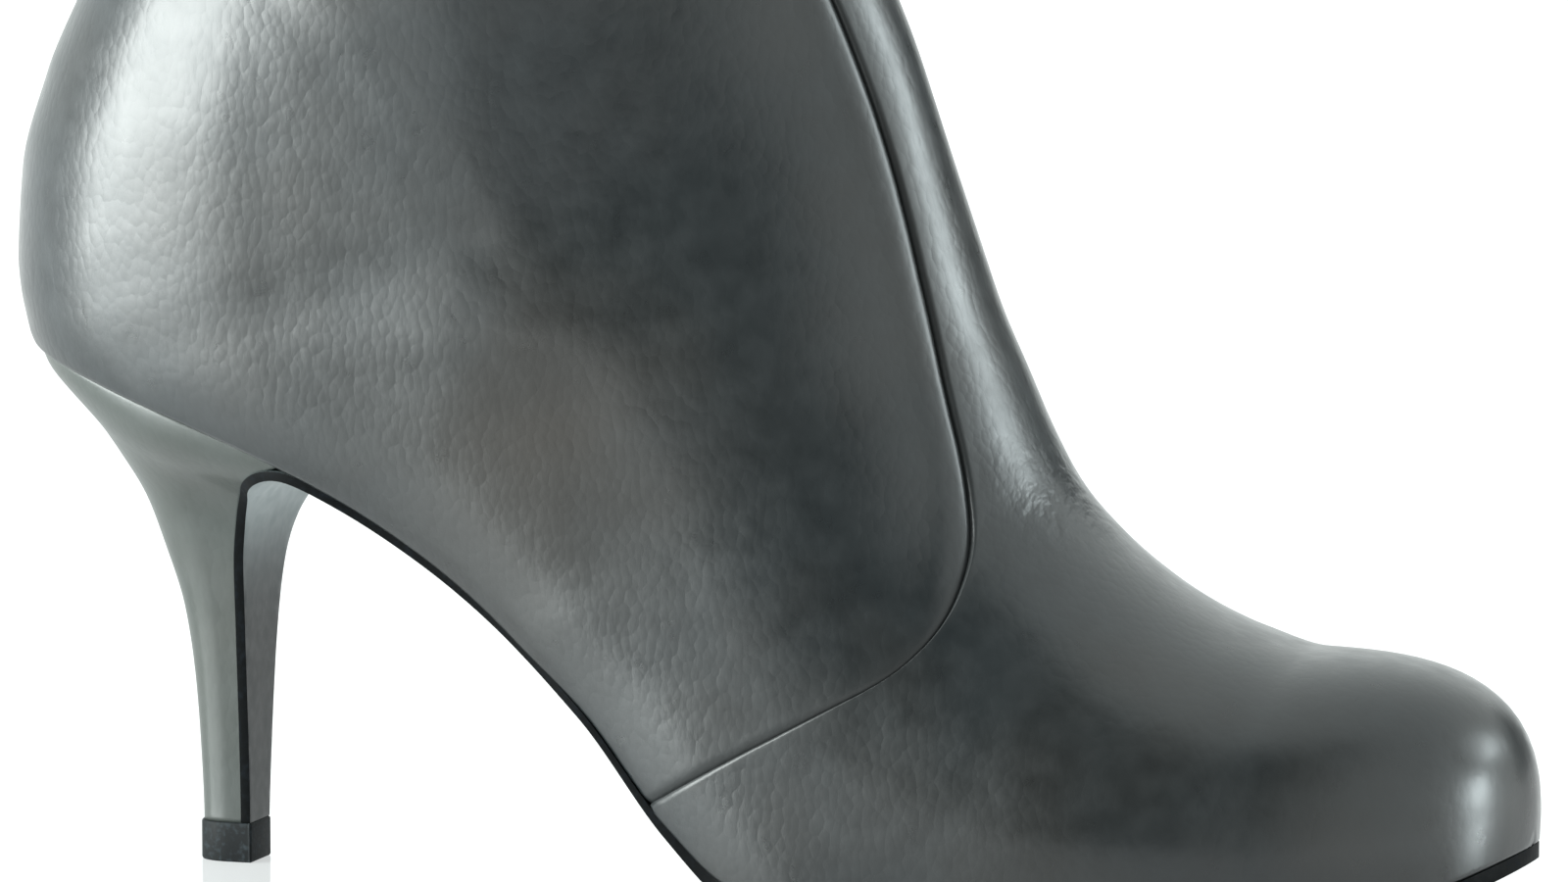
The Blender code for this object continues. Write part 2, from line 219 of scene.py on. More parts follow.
def walk(side, rows):
    """Points of one side of some sections, and the share of the way walked to each."""
    turn = HALF_TURN if side < 0 else 2 * math.pi - HALF_TURN
    points = last_point(rows[:, None], turn[None, :])
    walked = lengths_along(points)
    return points, walked / np.maximum(walked[:, -1:], TINY)


WALKED = {side: walk(side, MAP_ROWS)[1] for side in (-1, 1)}
ANGLES = {
    side: np.array([np.interp(MAP_SHARES, row, HALF_TURN) for row in walked])
    for side, walked in WALKED.items()
}


print("map of", len(MAP_ROWS), "rows and", len(MAP_SHARES), "shares")

# %% [markdown]
# A place seldom falls on a row of the map, so values are blended from the four nearest entries.

# %% Reading the map
LAST_CELL = 1.001


def read_map(table, row, share, rows=len(MAP_ROWS)):
    """Value of a map table between its rows and shares."""
    i = np.clip((row + 1) / (MAP_ROWS[1] - MAP_ROWS[0]), 0, rows - LAST_CELL)
    j = np.clip(share * (len(MAP_SHARES) - 1), 0, len(MAP_SHARES) - LAST_CELL)
    i0, j0 = i.astype(int), j.astype(int)
    fi, fj = i - i0, j - j0
    low = table[i0, j0] * (1 - fj) + table[i0, j0 + 1] * fj
    high = table[i0 + 1, j0] * (1 - fj) + table[i0 + 1, j0 + 1] * fj
    return low * (1 - fi) + high * fi


def angle_at(row, share, side):
    """Angle round the last for a place on its map; side is -1 for outer and 1 for inner."""
    outer = read_map(ANGLES[-1], row, share)
    inner = 2 * math.pi - read_map(ANGLES[1], row, share)
    return np.where(side < 0, outer, inner)


ball_angle = angle_at(np.full(1, 2.0), np.full(1, 0.5), -1)
print("halfway up the outer side of the ball the angle is", ball_angle.round(2))

# %% [markdown]
# ## Two lines in side view
# Two lines cut the leather: the line where the upper meets heel and sole, and the seam where the
# front panel laps over the quarter. Both are drawn in side view, as on a maker's standard, and then
# carried on to the map, the same on both sides of the foot.

# %% Where the lines run
SOLE_LINE = np.array([
    (-6.0, 81.4), (19.0, 74.3), (49.0, 63.5), (73.0, 50.2), (97.0, 30.2), (111.0, 13.8),
    (121.0, 5.7), (134.0, 3.0), (173.0, 3.0), (204.0, 3.9), (220.0, 6.4), (230.0, 10.2), (240.0, 16.0),
])
VAMP_SEAM = np.array([
    (100.0, 212.0), (104.5, 192.0), (114.0, 165.0), (130.4, 132.0), (140.2, 105.5), (147.9, 79.5),
    (152.6, 65.0), (154.9, 54.0), (153.6, 46.0), (147.6, 38.0), (136.5, 31.8), (120.0, 23.0), (104.0, 14.0),
])


def sole_height(x):
    """Height of the line where the upper meets heel and sole."""
    return smooth(SOLE_LINE[:, 0], SOLE_LINE[:, 1], x)


print("sole line is", sole_height(BALL_X).round(1), "mm high at the ball")

# %% [markdown]
# ## The sole line on the map
# Round each section there is one share of the way at which it rises through the sole line. Before the
# toe's end a section lies wholly under the line, and behind the heel's end wholly over it.

# %% The sole line on the map
FINE_STEPS = 3001


def over_sole(side, rows):
    """Heights over the sole line round one side of some sections, and the share of the way to each."""
    points, walked = walk(side, rows)
    return points[:, :, 2] - sole_height(points[:, :, 0]), walked


def sole_shares(side, rows, lift=0.0):
    """Share, on some rows of the map, where the section rises through a line over the sole line."""
    above, walked = over_sole(side, rows)
    above = above - lift
    shares = []
    for height, share in zip(above, walked):
        if height.max() <= 0:
            shares.append(1.0)
        elif height.min() > 0:
            shares.append(0.0)
        else:
            first = max(int(np.argmax(height > 0)), 1)
            part = -height[first - 1] / (height[first] - height[first - 1])
            shares.append(share[first - 1] + part * (share[first] - share[first - 1]))
    return np.array(shares)


nose_rows, heel_rows = np.linspace(-1, 0, FINE_STEPS), np.linspace(9, 12, FINE_STEPS)
TOE_END = nose_rows[np.argmax(over_sole(-1, nose_rows)[0].max(axis=1) > 0)]
HEEL_END = heel_rows[np.argmax(over_sole(-1, heel_rows)[0].min(axis=1) > 0)]
print("sole line from heel row", HEEL_END.round(2), "to toe row", TOE_END.round(2))

# %% [markdown]
# ## The seam on the map
# The seam is smoothed first, because a knife cuts a fair curve. For each of its points the section that
# passes nearest in side view is looked up, and then the share of the way round that section.

# %% The seam on the map
SEAM_STEPS = 600
SEAM_SMOOTHING = 400
SEAM_ROWS = np.linspace(2, 18.6, 4000)
BESIDE = 0.02
NEVER = 1e9


def seam_side_view():
    """Points of the seam in side view, from the collar to the sole line."""
    places = np.linspace(1, len(VAMP_SEAM) - 1, SEAM_STEPS)
    numbers = np.arange(len(VAMP_SEAM))
    line = np.stack([smooth(numbers, VAMP_SEAM[:, i], places) for i in (0, 1)], axis=1)
    for _ in range(SEAM_SMOOTHING):
        line[1:-1] = (line[:-2] + 2 * line[1:-1] + line[2:]) / 4
    return line[line[:, 1] >= sole_height(line[:, 0])]


def seam_on_map(side):
    """Rows and shares of the seam from the collar to the sole line."""
    cut = section(SEAM_ROWS)
    run, rise = cut["front_x"] - cut["back_x"], cut["front_z"] - cut["back_z"]
    found = []
    for x, z in seam_side_view():
        off = np.abs(run * (z - cut["back_z"]) - rise * (x - cut["back_x"])) / np.hypot(run, rise)
        along = (run * (x - cut["back_x"]) + rise * (z - cut["back_z"])) / (run ** 2 + rise ** 2)
        off = np.where((along > -BESIDE) & (along < 1 + BESIDE), off, NEVER)
        best = int(np.argmin(off))
        belly = cut["belly"][best]
        part = along[best] - belly
        reach, squareness = (1 - belly, cut["high"][best]) if part > 0 else (belly, cut["low"][best])
        up = np.sign(part) * min(abs(part) / reach, 1.0) ** (squareness / 2)
        row = round((SEAM_ROWS[best] + 1) / (MAP_ROWS[1] - MAP_ROWS[0]))
        walked = WALKED[side][int(np.clip(row, 0, len(MAP_ROWS) - 1))]
        found.append((SEAM_ROWS[best], np.interp(math.acos(-up), HALF_TURN, walked)))
    return np.array(found)


SEAM = {side: seam_on_map(side) for side in (-1, 1)}
print("seam from", SEAM[-1][0].round(2), "to", SEAM[-1][-1].round(2))

# %% [markdown]
# ## Pattern pieces
# The upper is two pieces of leather. The front panel is vamp and shaft front in one, and the quarter
# wraps round the heel. Each starts as a flat grid, as a maker starts from a flat hide, and every point
# of the grid gets a place on the last's map between the piece's borders. A Boolean cut through one
# big skin would give the same outline, but ragged faces at the seam just where the light catches it.

# %% Borders of the pieces, paced by their length
from collections import namedtuple

Line = namedtuple("Line", "pace rows outer inner")
COLLAR_ROW = 17.93
SOLE_STEPS = 400


def paced(rows, outer, inner):
    """A line on the map with the share of its length at each point."""
    points = last_point(rows, angle_at(rows, outer, -1))
    walked = lengths_along(points)
    return Line(walked / walked[-1], rows, outer, inner)


def on_line(line, pace, side):
    """Row and share of a line at a share of its length."""
    row, outer, inner = (np.interp(pace, line.pace, values) for values in line[1:])
    return row, np.where(side < 0, outer, inner)


def along_sole(start, end):
    """Rows and shares of the sole line, close together near its end."""
    rows = end + (start - end) * np.linspace(1, 0, SOLE_STEPS) ** 2
    return rows, sole_shares(-1, rows), sole_shares(1, rows)


used = SEAM[-1][:, 0] <= COLLAR_ROW
seam_rows = SEAM[-1][used, 0]
seam_line = paced(seam_rows, SEAM[-1][used, 1], SEAM[1][used, 1])
seam_foot = seam_rows[-1]
front_sole = along_sole(seam_foot, TOE_END)
back_sole = paced(*along_sole(seam_foot, HEEL_END))
vamp_border = paced(*(np.concatenate(pair) for pair in zip(seam_line[1:], front_sole)))
SEAM_PART = vamp_border.pace[len(seam_rows) - 1]
print("seam takes", round(float(SEAM_PART), 3), "of the front panel's border")

# %% [markdown]
# ## The fan of the front panel
# On the shaft the grid's lines follow the sections of the last. Where the seam turns back to the sole
# they fan out over the instep, so a short table says which row of the ridge each part of the border
# looks at. Lines that all followed the sections would meet the border at a slant there, and the
# faces would be cut to thin slivers.

# %% The fan of the front panel
RidgeMark = namedtuple("RidgeMark", "part row")
FAN = [
    RidgeMark(0.07, 4.35), RidgeMark(0.14, 3.5), RidgeMark(0.24, 3.0), RidgeMark(0.42, 2.5),
    RidgeMark(0.54, 2.2), RidgeMark(0.63, 1.75), RidgeMark(0.71, 1.1), RidgeMark(0.78, 0.35),
    RidgeMark(0.86, -0.18), RidgeMark(0.93, -0.53), RidgeMark(1.0, TOE_END),
]
FAN_ROW = 5.9
STRAIGHT_MARKS = 7
FAN_START = seam_line.pace[np.argmax(seam_rows < FAN_ROW)] * SEAM_PART
straight = np.linspace(0, FAN_START, STRAIGHT_MARKS)
RIDGE = [RidgeMark(part, np.interp(part, vamp_border.pace, vamp_border.rows)) for part in straight]
RIDGE += [RidgeMark(FAN_START + mark.part * (1 - FAN_START), mark.row) for mark in FAN]


def ridge_row(pace):
    """Row of the ridge that a place on the front panel's border looks at."""
    return smooth([mark.part for mark in RIDGE], [mark.row for mark in RIDGE], pace)


print("fan of the front panel starts at", round(FAN_START, 3))

# %% [markdown]
# ## Places on the last
# A place on a piece's grid becomes a place on the map by blending the piece's borders, closer together
# near an edge, where the leather rolls in. The map place then becomes a point over the last.

# %% Places of the two pieces on the last
EDGE_GRADE = 1.4


def vamp_map(across, down):
    """Map place of the front panel: across from -1 (outer border) to 1 (inner), down from the collar."""
    side = np.where(across < 0, -1, 1)
    out = 1 - (1 - np.abs(across)) ** EDGE_GRADE
    border_row, border_share = on_line(vamp_border, down, side)
    ridge = ridge_row(down)
    return ridge + (border_row - ridge) * out ** 2, 1 - (1 - border_share) * out, side


def quarter_map(across, down):
    """Map place of the quarter: across from -1 (outer seam) by the back to 1 (inner seam)."""
    side = np.where(across < 0, -1, 1)
    back = (1 - np.abs(across)) ** EDGE_GRADE
    low = 1 - (1 - down) ** EDGE_GRADE
    seam_row, seam_share = on_line(seam_line, low, side)
    sole_row, sole_share = on_line(back_sole, back, side)
    foot_share = on_line(seam_line, 0 * low + 1, side)[1]
    heel_row = COLLAR_ROW + (HEEL_END - COLLAR_ROW) * low
    row = (1 - back) * seam_row + back * heel_row
    row += low * (sole_row - (1 - back) * seam_foot - back * HEEL_END)
    share = (1 - back) * seam_share + low * (sole_share - (1 - back) * foot_share)
    return row, share, side


def on_last(place, lift):
    """Points over a map place, lifted off the last."""
    row, share, side = place
    angle = angle_at(row, share, side)
    return last_point(row, angle) + last_normal(row, angle) * np.asarray(lift)[..., None]


heel_back = on_last(quarter_map(np.zeros(1), np.full(1, 0.5)), np.zeros(1))
print("middle of the heel's back at", heel_back[0].round(1))

# %% [markdown]
# ## Soft folds
# Worn once or twice, a boot keeps a few soft folds behind the ankle. Noise would scatter them anywhere,
# so each is placed one by one, in side view: a straight run with a width and a height, where a trough has
# a height under zero. The inner side of the foot gets the same folds, but flatter.

# %% Folds of the quarter
Fold = namedtuple("Fold", "start_x start_z end_x end_z width height")
FOLDS = [
    Fold(54.0, 133.0, 82.0, 100.0, 3.0, -0.14),
    Fold(60.0, 135.0, 90.0, 98.0, 4.5, 0.16),
    Fold(50.0, 142.0, 52.0, 90.0, 5.0, -0.14),
    Fold(92.0, 78.0, 96.0, 58.0, 4.0, 0.10),
    Fold(66.0, 168.0, 96.0, 158.0, 6.0, -0.20),
    Fold(66.0, 158.0, 98.0, 147.0, 6.0, 0.16),
    Fold(78.0, 146.0, 83.0, 86.0, 17.0, 1.5),
    Fold(81.0, 72.0, 94.0, 44.0, 12.0, 0.85),
]
INNER_FOLDS = 0.6
FOLD_END = 9.0


def fold_relief(points):
    """Height of the folds at points of the upper."""
    relief = np.zeros(len(points))
    for fold in FOLDS:
        start = np.array([fold.start_x, fold.start_z])
        way = np.array([fold.end_x, fold.end_z]) - start
        length = np.hypot(*way)
        way /= length
        off = points[:, (0, 2)] - start
        along, aside = off @ way, off @ np.array([-way[1], way[0]])
        beyond = np.maximum(np.maximum(-along, along - length), 0)
        relief += fold.height * np.exp(-(aside / fold.width) ** 2 - (beyond / FOLD_END) ** 2)
    return relief * np.where(points[:, 1] < 0, 1.0, INNER_FOLDS)


print(len(FOLDS), "folds")

# %% [markdown]
# ## From millimetres to an object
# The tables count millimetres from the back of the boot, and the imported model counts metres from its
# middle, so every finished point is moved over. A soft spot says how near a point is to some place; the
# finishes read it later. All pieces ride on the boot's one body, because nothing on a boot is jointed.

# %% From millimetres to an object
def to_scene(points):
    """Millimetres from the back of the boot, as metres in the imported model's frame."""
    return (points + np.array([BACK_X, MIDDLE_Y, 0.0])) * MM


def soft_spot(points, place, size):
    """One at a place, falling off to zero over a size in each direction."""
    return np.exp(-np.sum(((points - place) / size) ** 2, axis=-1))


def piece_from(name, bm):
    """Object of a finished bmesh, riding on the boot's one body."""
    for face in bm.faces:
        face.smooth = True
    mesh = bpy.data.meshes.new(name)
    bm.to_mesh(mesh)
    bm.free()
    piece = bpy.data.objects.new(name, mesh)
    bpy.context.scene.collection.objects.link(piece)
    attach(piece, "root")
    print(name, len(mesh.polygons), "faces")
    return piece


print("the toe's tip is at", to_scene(last_point(-1.0, math.pi)).round(4), "metres")

# %% [markdown]
# ## From a flat grid to a piece of leather
# Each piece starts as a flat grid, made by one operator, and a function lays its points on the last. Its
# points keep how near they are to a seam, to the bend of the instep, where leather crinkles, and to the
# side where hands pull the boot on. A Solidify modifier then gives the sheet its thickness, away from
# its face, so that the outside stays as laid. A thick block could be cut to shape instead, but leather
# is a sheet, and its edges look like one only if it is made as one.

# %% A piece of leather from a flat grid
BEND_PLACE = np.array([164.0, -6.0, 62.0])
BEND_SIZE = np.array([9.0, 16.0, 9.0])
HANDLED_PLACE = np.array([93.0, -32.0, 65.0])
HANDLED_SIZE = np.array([26.0, 60.0, 28.0])
DOUBLES = 1e-6


def leather_piece(name, columns, rows, place):
    """Grid laid on the last by a function that gives points and how near each is to a seam."""
    bm = bmesh.new()
    bmesh.ops.create_grid(bm, x_segments=columns, y_segments=rows, size=1.0)
    flat = np.array([vert.co[:2] for vert in bm.verts])
    points, seam = place(flat[:, 0], (1 - flat[:, 1]) / 2)
    bend = soft_spot(points, BEND_PLACE, BEND_SIZE)
    handled = soft_spot(points, HANDLED_PLACE, HANDLED_SIZE)
    layers = [bm.verts.layers.float.new(layer) for layer in ("seam", "bend", "handled")]
    for vert, point, shares in zip(bm.verts, to_scene(points), zip(seam, bend, handled)):
        vert.co = point
        for layer, share in zip(layers, shares):
            vert[layer] = share
    bmesh.ops.remove_doubles(bm, verts=bm.verts, dist=DOUBLES)
    return piece_from(name, bm)


def thicken(piece, thickness):
    """Give a laid sheet its thickness, away from its face."""
    wall = piece.modifiers.new("leather_thickness", "SOLIDIFY")
    wall.thickness = thickness * MM
    wall.offset = -1.0


ball_bend = soft_spot(last_point(3.0, math.pi), BEND_PLACE, BEND_SIZE)
print("the ridge over the ball is in the bend by", ball_bend.round(2))

# %% [markdown]
# ## Front panel
# Vamp and shaft front are one piece, which lies on top of the quarter. Its edge is turned in: at the
# seam and along the sole the last millimetre rolls down to the last. The first rows fold over the
# collar to the inside. Loops of faces set by hand could do this too, but one function of the distance
# to the border gives the same edge all the way round.

# %% The front panel
VAMP_GRID = 120, 220
WALL, LEATHER, VAMP_LAP = 1.8, 0.6, 1.0
COLLAR_FOLD = 0.04
VAMP_SEAM_ROLL, VAMP_SOLE_ROLL = (1.0, 1.4), (1.2, 1.4)
VAMP_SHADE = 1.2
SEAM_FADE = 0.02


def roll(distance, radius, depth):
    """How far a turned edge has dipped, at a distance from it."""
    near = 1 - np.clip(distance / radius, 0, 1)
    return -depth * (1 - np.sqrt(1 - near ** 2))


def with_fold(down, base, lay):
    """Points of a piece whose first rows fold over the collar; lay takes a way down and a lift."""
    turn = np.clip((COLLAR_FOLD - down) / COLLAR_FOLD, 0, 1) * math.pi
    way = np.clip((down - COLLAR_FOLD) / (1 - COLLAR_FOLD), 0, 1)
    radius = (base + WALL) / 2
    points, seam = lay(way, -radius * (1 - np.cos(turn)))
    points[:, 2] += radius * np.sin(turn)
    return points, seam


def lay_vamp(across, down):
    """Front panel over the last, with its rolled border."""
    def lay(way, lift):
        place = vamp_map(across, way)
        border = on_last(vamp_map(np.where(across < 0, -1.0, 1.0), way), 0 * way)
        distance = np.linalg.norm(on_last(place, 0 * way) - border, axis=-1)
        at_seam = np.clip((SEAM_PART + SEAM_FADE / 2 - way) / SEAM_FADE, 0, 1)
        edge = at_seam * roll(distance, *VAMP_SEAM_ROLL) + (1 - at_seam) * roll(distance, *VAMP_SOLE_ROLL)
        edge = np.where(lift < 0, 0, edge)
        # painted shade: this value darkens the colour near the seam
        near = np.exp(-distance / VAMP_SHADE) * at_seam
        return on_last(place, VAMP_LAP + edge + lift), near
    return with_fold(down, VAMP_LAP, lay)


front_panel = leather_piece("front_panel", *VAMP_GRID, lay_vamp)
thicken(front_panel, LEATHER)
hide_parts("upper")

# %% [markdown]
# ## Quarter
# The quarter wraps round the heel. A real one runs on under the front panel, where nobody sees it, so
# here it dips into the seam and ends there, with a low padding beside it on the shaft. Along the seam,
# and at the back where it meets the heel, a painted shade darkens it, fading out along the seat.

# %% The quarter
QUARTER_GRID = 260, 150
SEAM_PADDING = 0.25
PADDING_END, PADDING_FADE = 0.72, 0.18
PADDING_AWAY, PADDING_WIDTH = 3.2, 2.0
QUARTER_SEAM_ROLL, QUARTER_SOLE_ROLL = (1.8, 0.8), (1.0, 1.0)
QUARTER_SHADE, SEAT_SHADE = 1.0, 0.8
SEAT_LINE_END = 40.0


def lay_quarter(across, down):
    """Quarter over the last, rolled in at the seam and along the sole line."""
    def lay(way, lift):
        place = quarter_map(across, way)
        flat = on_last(place, 0 * way)
        seam = on_last(quarter_map(np.where(across < 0, -1.0, 1.0), way), 0 * way)
        sole = on_last(quarter_map(across, 0 * way + 1), 0 * way)
        to_seam = np.linalg.norm(flat - seam, axis=-1)
        to_sole = np.linalg.norm(flat - sole, axis=-1)
        edge = roll(to_seam, *QUARTER_SEAM_ROLL) + roll(to_sole, *QUARTER_SOLE_ROLL)
        edge = np.where(lift < 0, 0, edge)
        upright = np.clip((PADDING_END - way) / PADDING_FADE, 0, 1)
        padding = SEAM_PADDING * upright * np.exp(-((to_seam - PADDING_AWAY) / PADDING_WIDTH) ** 2)
        behind = np.clip((SEAT_LINE_END - flat[..., 0]) / SEAT_LINE_END, 0, 1)
        # painted shade: near the seam, and near the seat line at the back, this value darkens the colour
        near = np.maximum(np.exp(-to_seam / QUARTER_SHADE), np.exp(-to_sole / SEAT_SHADE) * behind)
        return on_last(place, edge + lift + padding + fold_relief(flat)), near
    return with_fold(down, 0.0, lay)


quarter = leather_piece("quarter", *QUARTER_GRID, lay_quarter)
thicken(quarter, LEATHER)
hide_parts("upper")

# %% [markdown]
# ## Lining
# Inside, a softer leather lines the boot from the collar's fold down to the insole. It is one tube
# from collar to toe, so its grid simply runs along the sections, and ends on the insole. Its good side
# looks inward, so its faces are turned round before it gets its thickness.

# %% The lining
LINING_GRID = 160, 200
LINING_GAP = 0.02
LINING_LEATHER = 0.7
SOLE_SHARE = {side: sole_shares(side, MAP_ROWS) for side in (-1, 1)}


def lay_lining(across, down):
    """Inside of the wall: across from the outer sole line over the ridge to the inner one."""
    side = np.where(across < 0, -1, 1)
    row = COLLAR_ROW + (TOE_END + LINING_GAP - COLLAR_ROW) * down
    outer, inner = (np.interp(row, MAP_ROWS, SOLE_SHARE[way]) for way in (-1, 1))
    low = np.where(side < 0, outer, inner)
    share = 1 - (1 - low) * np.abs(across)
    return on_last((row, share, side), 0 * row - WALL), 0 * row


lining = leather_piece("lining", *LINING_GRID, lay_lining)
bm = bmesh.new()
bm.from_mesh(lining.data)
bmesh.ops.reverse_faces(bm, faces=bm.faces)
bm.to_mesh(lining.data)
bm.free()
thicken(lining, LINING_LEATHER)
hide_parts("upper")

# %% [markdown]
# ## Heel
# The heel is a tall slim block with leather drawn round it. It has sections of its own, from the
# floor up, and its front is cut off square by the breast, where the sole runs down it. A lathe could
# not make it, because it is no round form. Its side is one grid from the outer edge of the breast
# round the back to the inner edge, which ends above on the sole line, flush with the upper.

# %% Sections of the heel block and its breast
HEEL_BLOCK = np.array([
    (27.8, -4.0, 38.6, -4.0, 0.098, 0.098, 0.0, 0.50, 2.3, 7.0),
    (27.8, 6.0, 38.6, 6.0, 0.100, 0.100, 0.0, 0.50, 2.3, 7.0),
    (27.4, 18.0, 38.8, 17.6, 0.120, 0.120, 0.0, 0.50, 2.3, 7.0),
    (26.7, 28.5, 39.0, 27.5, 0.146, 0.146, 0.0, 0.50, 2.3, 7.0),
    (25.3, 38.4, 39.4, 36.6, 0.178, 0.178, 0.0, 0.50, 2.3, 7.0),
    (22.6, 47.3, 40.4, 44.4, 0.222, 0.222, 0.0, 0.50, 2.3, 7.0),
    (19.6, 55.4, 42.3, 51.0, 0.290, 0.290, 0.0, 0.50, 2.2, 7.0),
    (15.8, 62.2, 46.0, 55.6, 0.410, 0.405, 0.0, 0.50, 2.1, 6.0),
    (12.2, 68.0, 52.0, 57.5, 0.550, 0.530, 0.0, 0.50, 2.0, 5.0),
    (8.1, 73.2, 60.0, 59.0, 0.640, 0.605, 0.0, 0.52, 1.9, 5.0),
    (4.4, 78.2, 66.0, 62.0, 0.700, 0.662, 0.0, 0.54, 1.9, 5.0),
    (2.2, 85.0, 70.0, 68.0, 0.720, 0.680, 0.0, 0.54, 1.9, 5.0),
])
BREAST = np.array([(36.4, 6.05), (36.8, 33.0), (37.4, 45.0), (38.6, 51.2), (40.3, 55.2), (42.5, 58.0),
                   (45.6, 60.2), (49.4, 61.6)])
FLAP = 1.5
BREAST_STEPS = 200
SEAT_FRONT, SEAT_RISE = 80.0, 12.0


def breast_line(back):
    """Side line up the breast of the heel, moved back square to itself."""
    at, numbers = np.linspace(0, len(BREAST) - 1, BREAST_STEPS), np.arange(len(BREAST))
    line = np.stack([smooth(numbers, BREAST[:, 0], at), smooth(numbers, BREAST[:, 1], at)], axis=1)
    way = np.gradient(line, axis=0)
    way /= np.linalg.norm(way, axis=1, keepdims=True)
    return line + back * np.stack([-way[:, 1], way[:, 0]], axis=1)


def heel_section(row):
    """Section of the heel block at a row of its table."""
    numbers = np.arange(len(HEEL_BLOCK))
    return {name: smooth(numbers, HEEL_BLOCK[:, i], row) for i, name in enumerate(COLUMNS)}


def behind_breast(points):
    """How far points are behind the back of the flap."""
    line = breast_line(FLAP)
    line = np.concatenate([line, [(SEAT_FRONT, line[-1, 1] + SEAT_RISE)]])
    return np.interp(points[..., 2], line[:, 1], line[:, 0]) - points[..., 0]


print("breast from", breast_line(0)[0].round(1), "to", breast_line(0)[-1].round(1))

# %% [markdown]
# The heel gets a map of its own, as the last did: even shares of the way from its back to the edge of
# the breast. Its rim is the row where each line up its side comes through the sole line.

# %% Map of the heel, and where it ends
HEEL_ROWS = np.linspace(1, 11, 401)


def heel_walk(side):
    """Angle at even shares of the way from the heel's back to the edge of its breast."""
    turn = HALF_TURN if side < 0 else 2 * math.pi - HALF_TURN
    angles = []
    for row in HEEL_ROWS:
        points = ring_point(heel_section(row), turn)
        cut = max(int(np.argmax(behind_breast(points) < 0)), 1)
        inside, beyond = behind_breast(points[cut - 1:cut + 1])
        edge = HALF_TURN[cut - 1] + inside / (inside - beyond) * (HALF_TURN[cut] - HALF_TURN[cut - 1])
        turns = np.append(HALF_TURN[:cut], edge)
        points = ring_point(heel_section(row), turns if side < 0 else 2 * math.pi - turns)
        walked = lengths_along(points)
        angles.append(np.interp(MAP_SHARES, walked / walked[-1], turns))
    return np.array(angles)


HEEL_ANGLES = {side: heel_walk(side) for side in (-1, 1)}


def heel_point(row, across):
    """Points of the heel's side: across from -1 at the outer edge of the breast to 1 at the inner."""
    place = (row - HEEL_ROWS[0]) / (HEEL_ROWS[1] - HEEL_ROWS[0]) * (MAP_ROWS[1] - MAP_ROWS[0]) - 1
    outer = read_map(HEEL_ANGLES[-1], place, np.abs(across), len(HEEL_ROWS))
    inner = 2 * math.pi - read_map(HEEL_ANGLES[1], place, np.abs(across), len(HEEL_ROWS))
    return ring_point(heel_section(row), np.where(across < 0, outer, inner))


heel_across = np.linspace(-1, 1, 241)
rim_rows = np.linspace(7, 11, 500)
climb = heel_point(rim_rows[:, None] + 0 * heel_across, heel_across + 0 * rim_rows[:, None])
under = climb[:, :, 2] < sole_height(climb[:, :, 0])
HEEL_RIM = rim_rows[np.clip(np.sum(under, axis=0), 0, len(rim_rows) - 1)]
print("heel meets the upper between rows", HEEL_RIM.min().round(2), "and", HEEL_RIM.max().round(2))

# %% [markdown]
# The cover of the heel is drawn up to the upper, so its rim has to follow the upper's lower edge. Both
# are looked at from a point in the middle of the seat, and the last few millimetres of the heel are
# eased out or in to the upper's distance from there.

# %% The heel's cover meets the upper
SEAT_X = 30.0
EASE = 10.0
HEEL_INSET = 0.35
HEEL_ROLL = 0.6, 0.4
BORDER_STEPS = 400


def upper_border():
    """Plan of the upper's lower edge round the heel, as angles and distances from the seat's middle."""
    pace = np.linspace(0, 1, BORDER_STEPS)
    sides = []
    for side in (-1, 1):
        row, share = on_line(back_sole, pace, side)
        sides.append(last_point(row, angle_at(row, share, side)))
    plan = np.concatenate([sides[0], sides[1][::-1]])
    turn = np.unwrap(np.arctan2(plan[:, 1], SEAT_X - plan[:, 0]))
    order = np.argsort(turn)
    return turn[order], np.hypot(plan[:, 0] - SEAT_X, plan[:, 1])[order]


def heel_place(across, up):
    """Place on the heel's side: up from 0 over the top piece to 1 at the seat."""
    rim = np.interp(across, heel_across, HEEL_RIM)
    points = heel_point(HEEL_ROWS[0] + (rim - HEEL_ROWS[0]) * up, across)
    below = np.maximum(sole_height(points[:, 0]) - points[:, 2], 0)
    eased = np.clip(1 - below / EASE, 0, 1) ** 2
    away = np.hypot(points[:, 0] - SEAT_X, points[:, 1])
    turn = np.arctan2(points[:, 1], SEAT_X - points[:, 0])
    wanted = np.interp(turn, *upper_border()) - HEEL_INSET + roll(below, *HEEL_ROLL)
    scale = (1 + eased * (wanted / away - 1))[:, None]
    plan = points[:, :2] - np.array([SEAT_X, 0.0])
    points[:, :2] = np.array([SEAT_X, 0.0]) + plan * scale
    return points


print("back of the seat at", heel_place(np.zeros(1), np.ones(1))[0].round(1))

# %% [markdown]
# Now the grid is laid on the heel. Its two edges at the breast are bridged, and the holes that are left
# above and below are filled, which makes the heel one closed block, as the real one is.

# %% The heel
HEEL_GRID = 180, 140
AT_BREAST = 0.9999
bm = bmesh.new()
bmesh.ops.create_grid(bm, x_segments=HEEL_GRID[0], y_segments=HEEL_GRID[1], size=1.0)
flat = np.array([vert.co[:2] for vert in bm.verts])
for vert, point in zip(bm.verts, to_scene(heel_place(flat[:, 0], (flat[:, 1] + 1) / 2))):
    vert.co = point
edge_of = dict(zip(bm.verts, np.where(np.abs(flat[:, 0]) > AT_BREAST, np.sign(flat[:, 0]), 0)))
breast_edges = [edge for edge in bm.edges if edge_of[edge.verts[0]] * edge_of[edge.verts[1]] == 1]
bmesh.ops.bridge_loops(bm, edges=breast_edges)
bmesh.ops.holes_fill(bm, edges=[edge for edge in bm.edges if edge.is_boundary], sides=0)
bmesh.ops.recalc_face_normals(bm, faces=bm.faces)
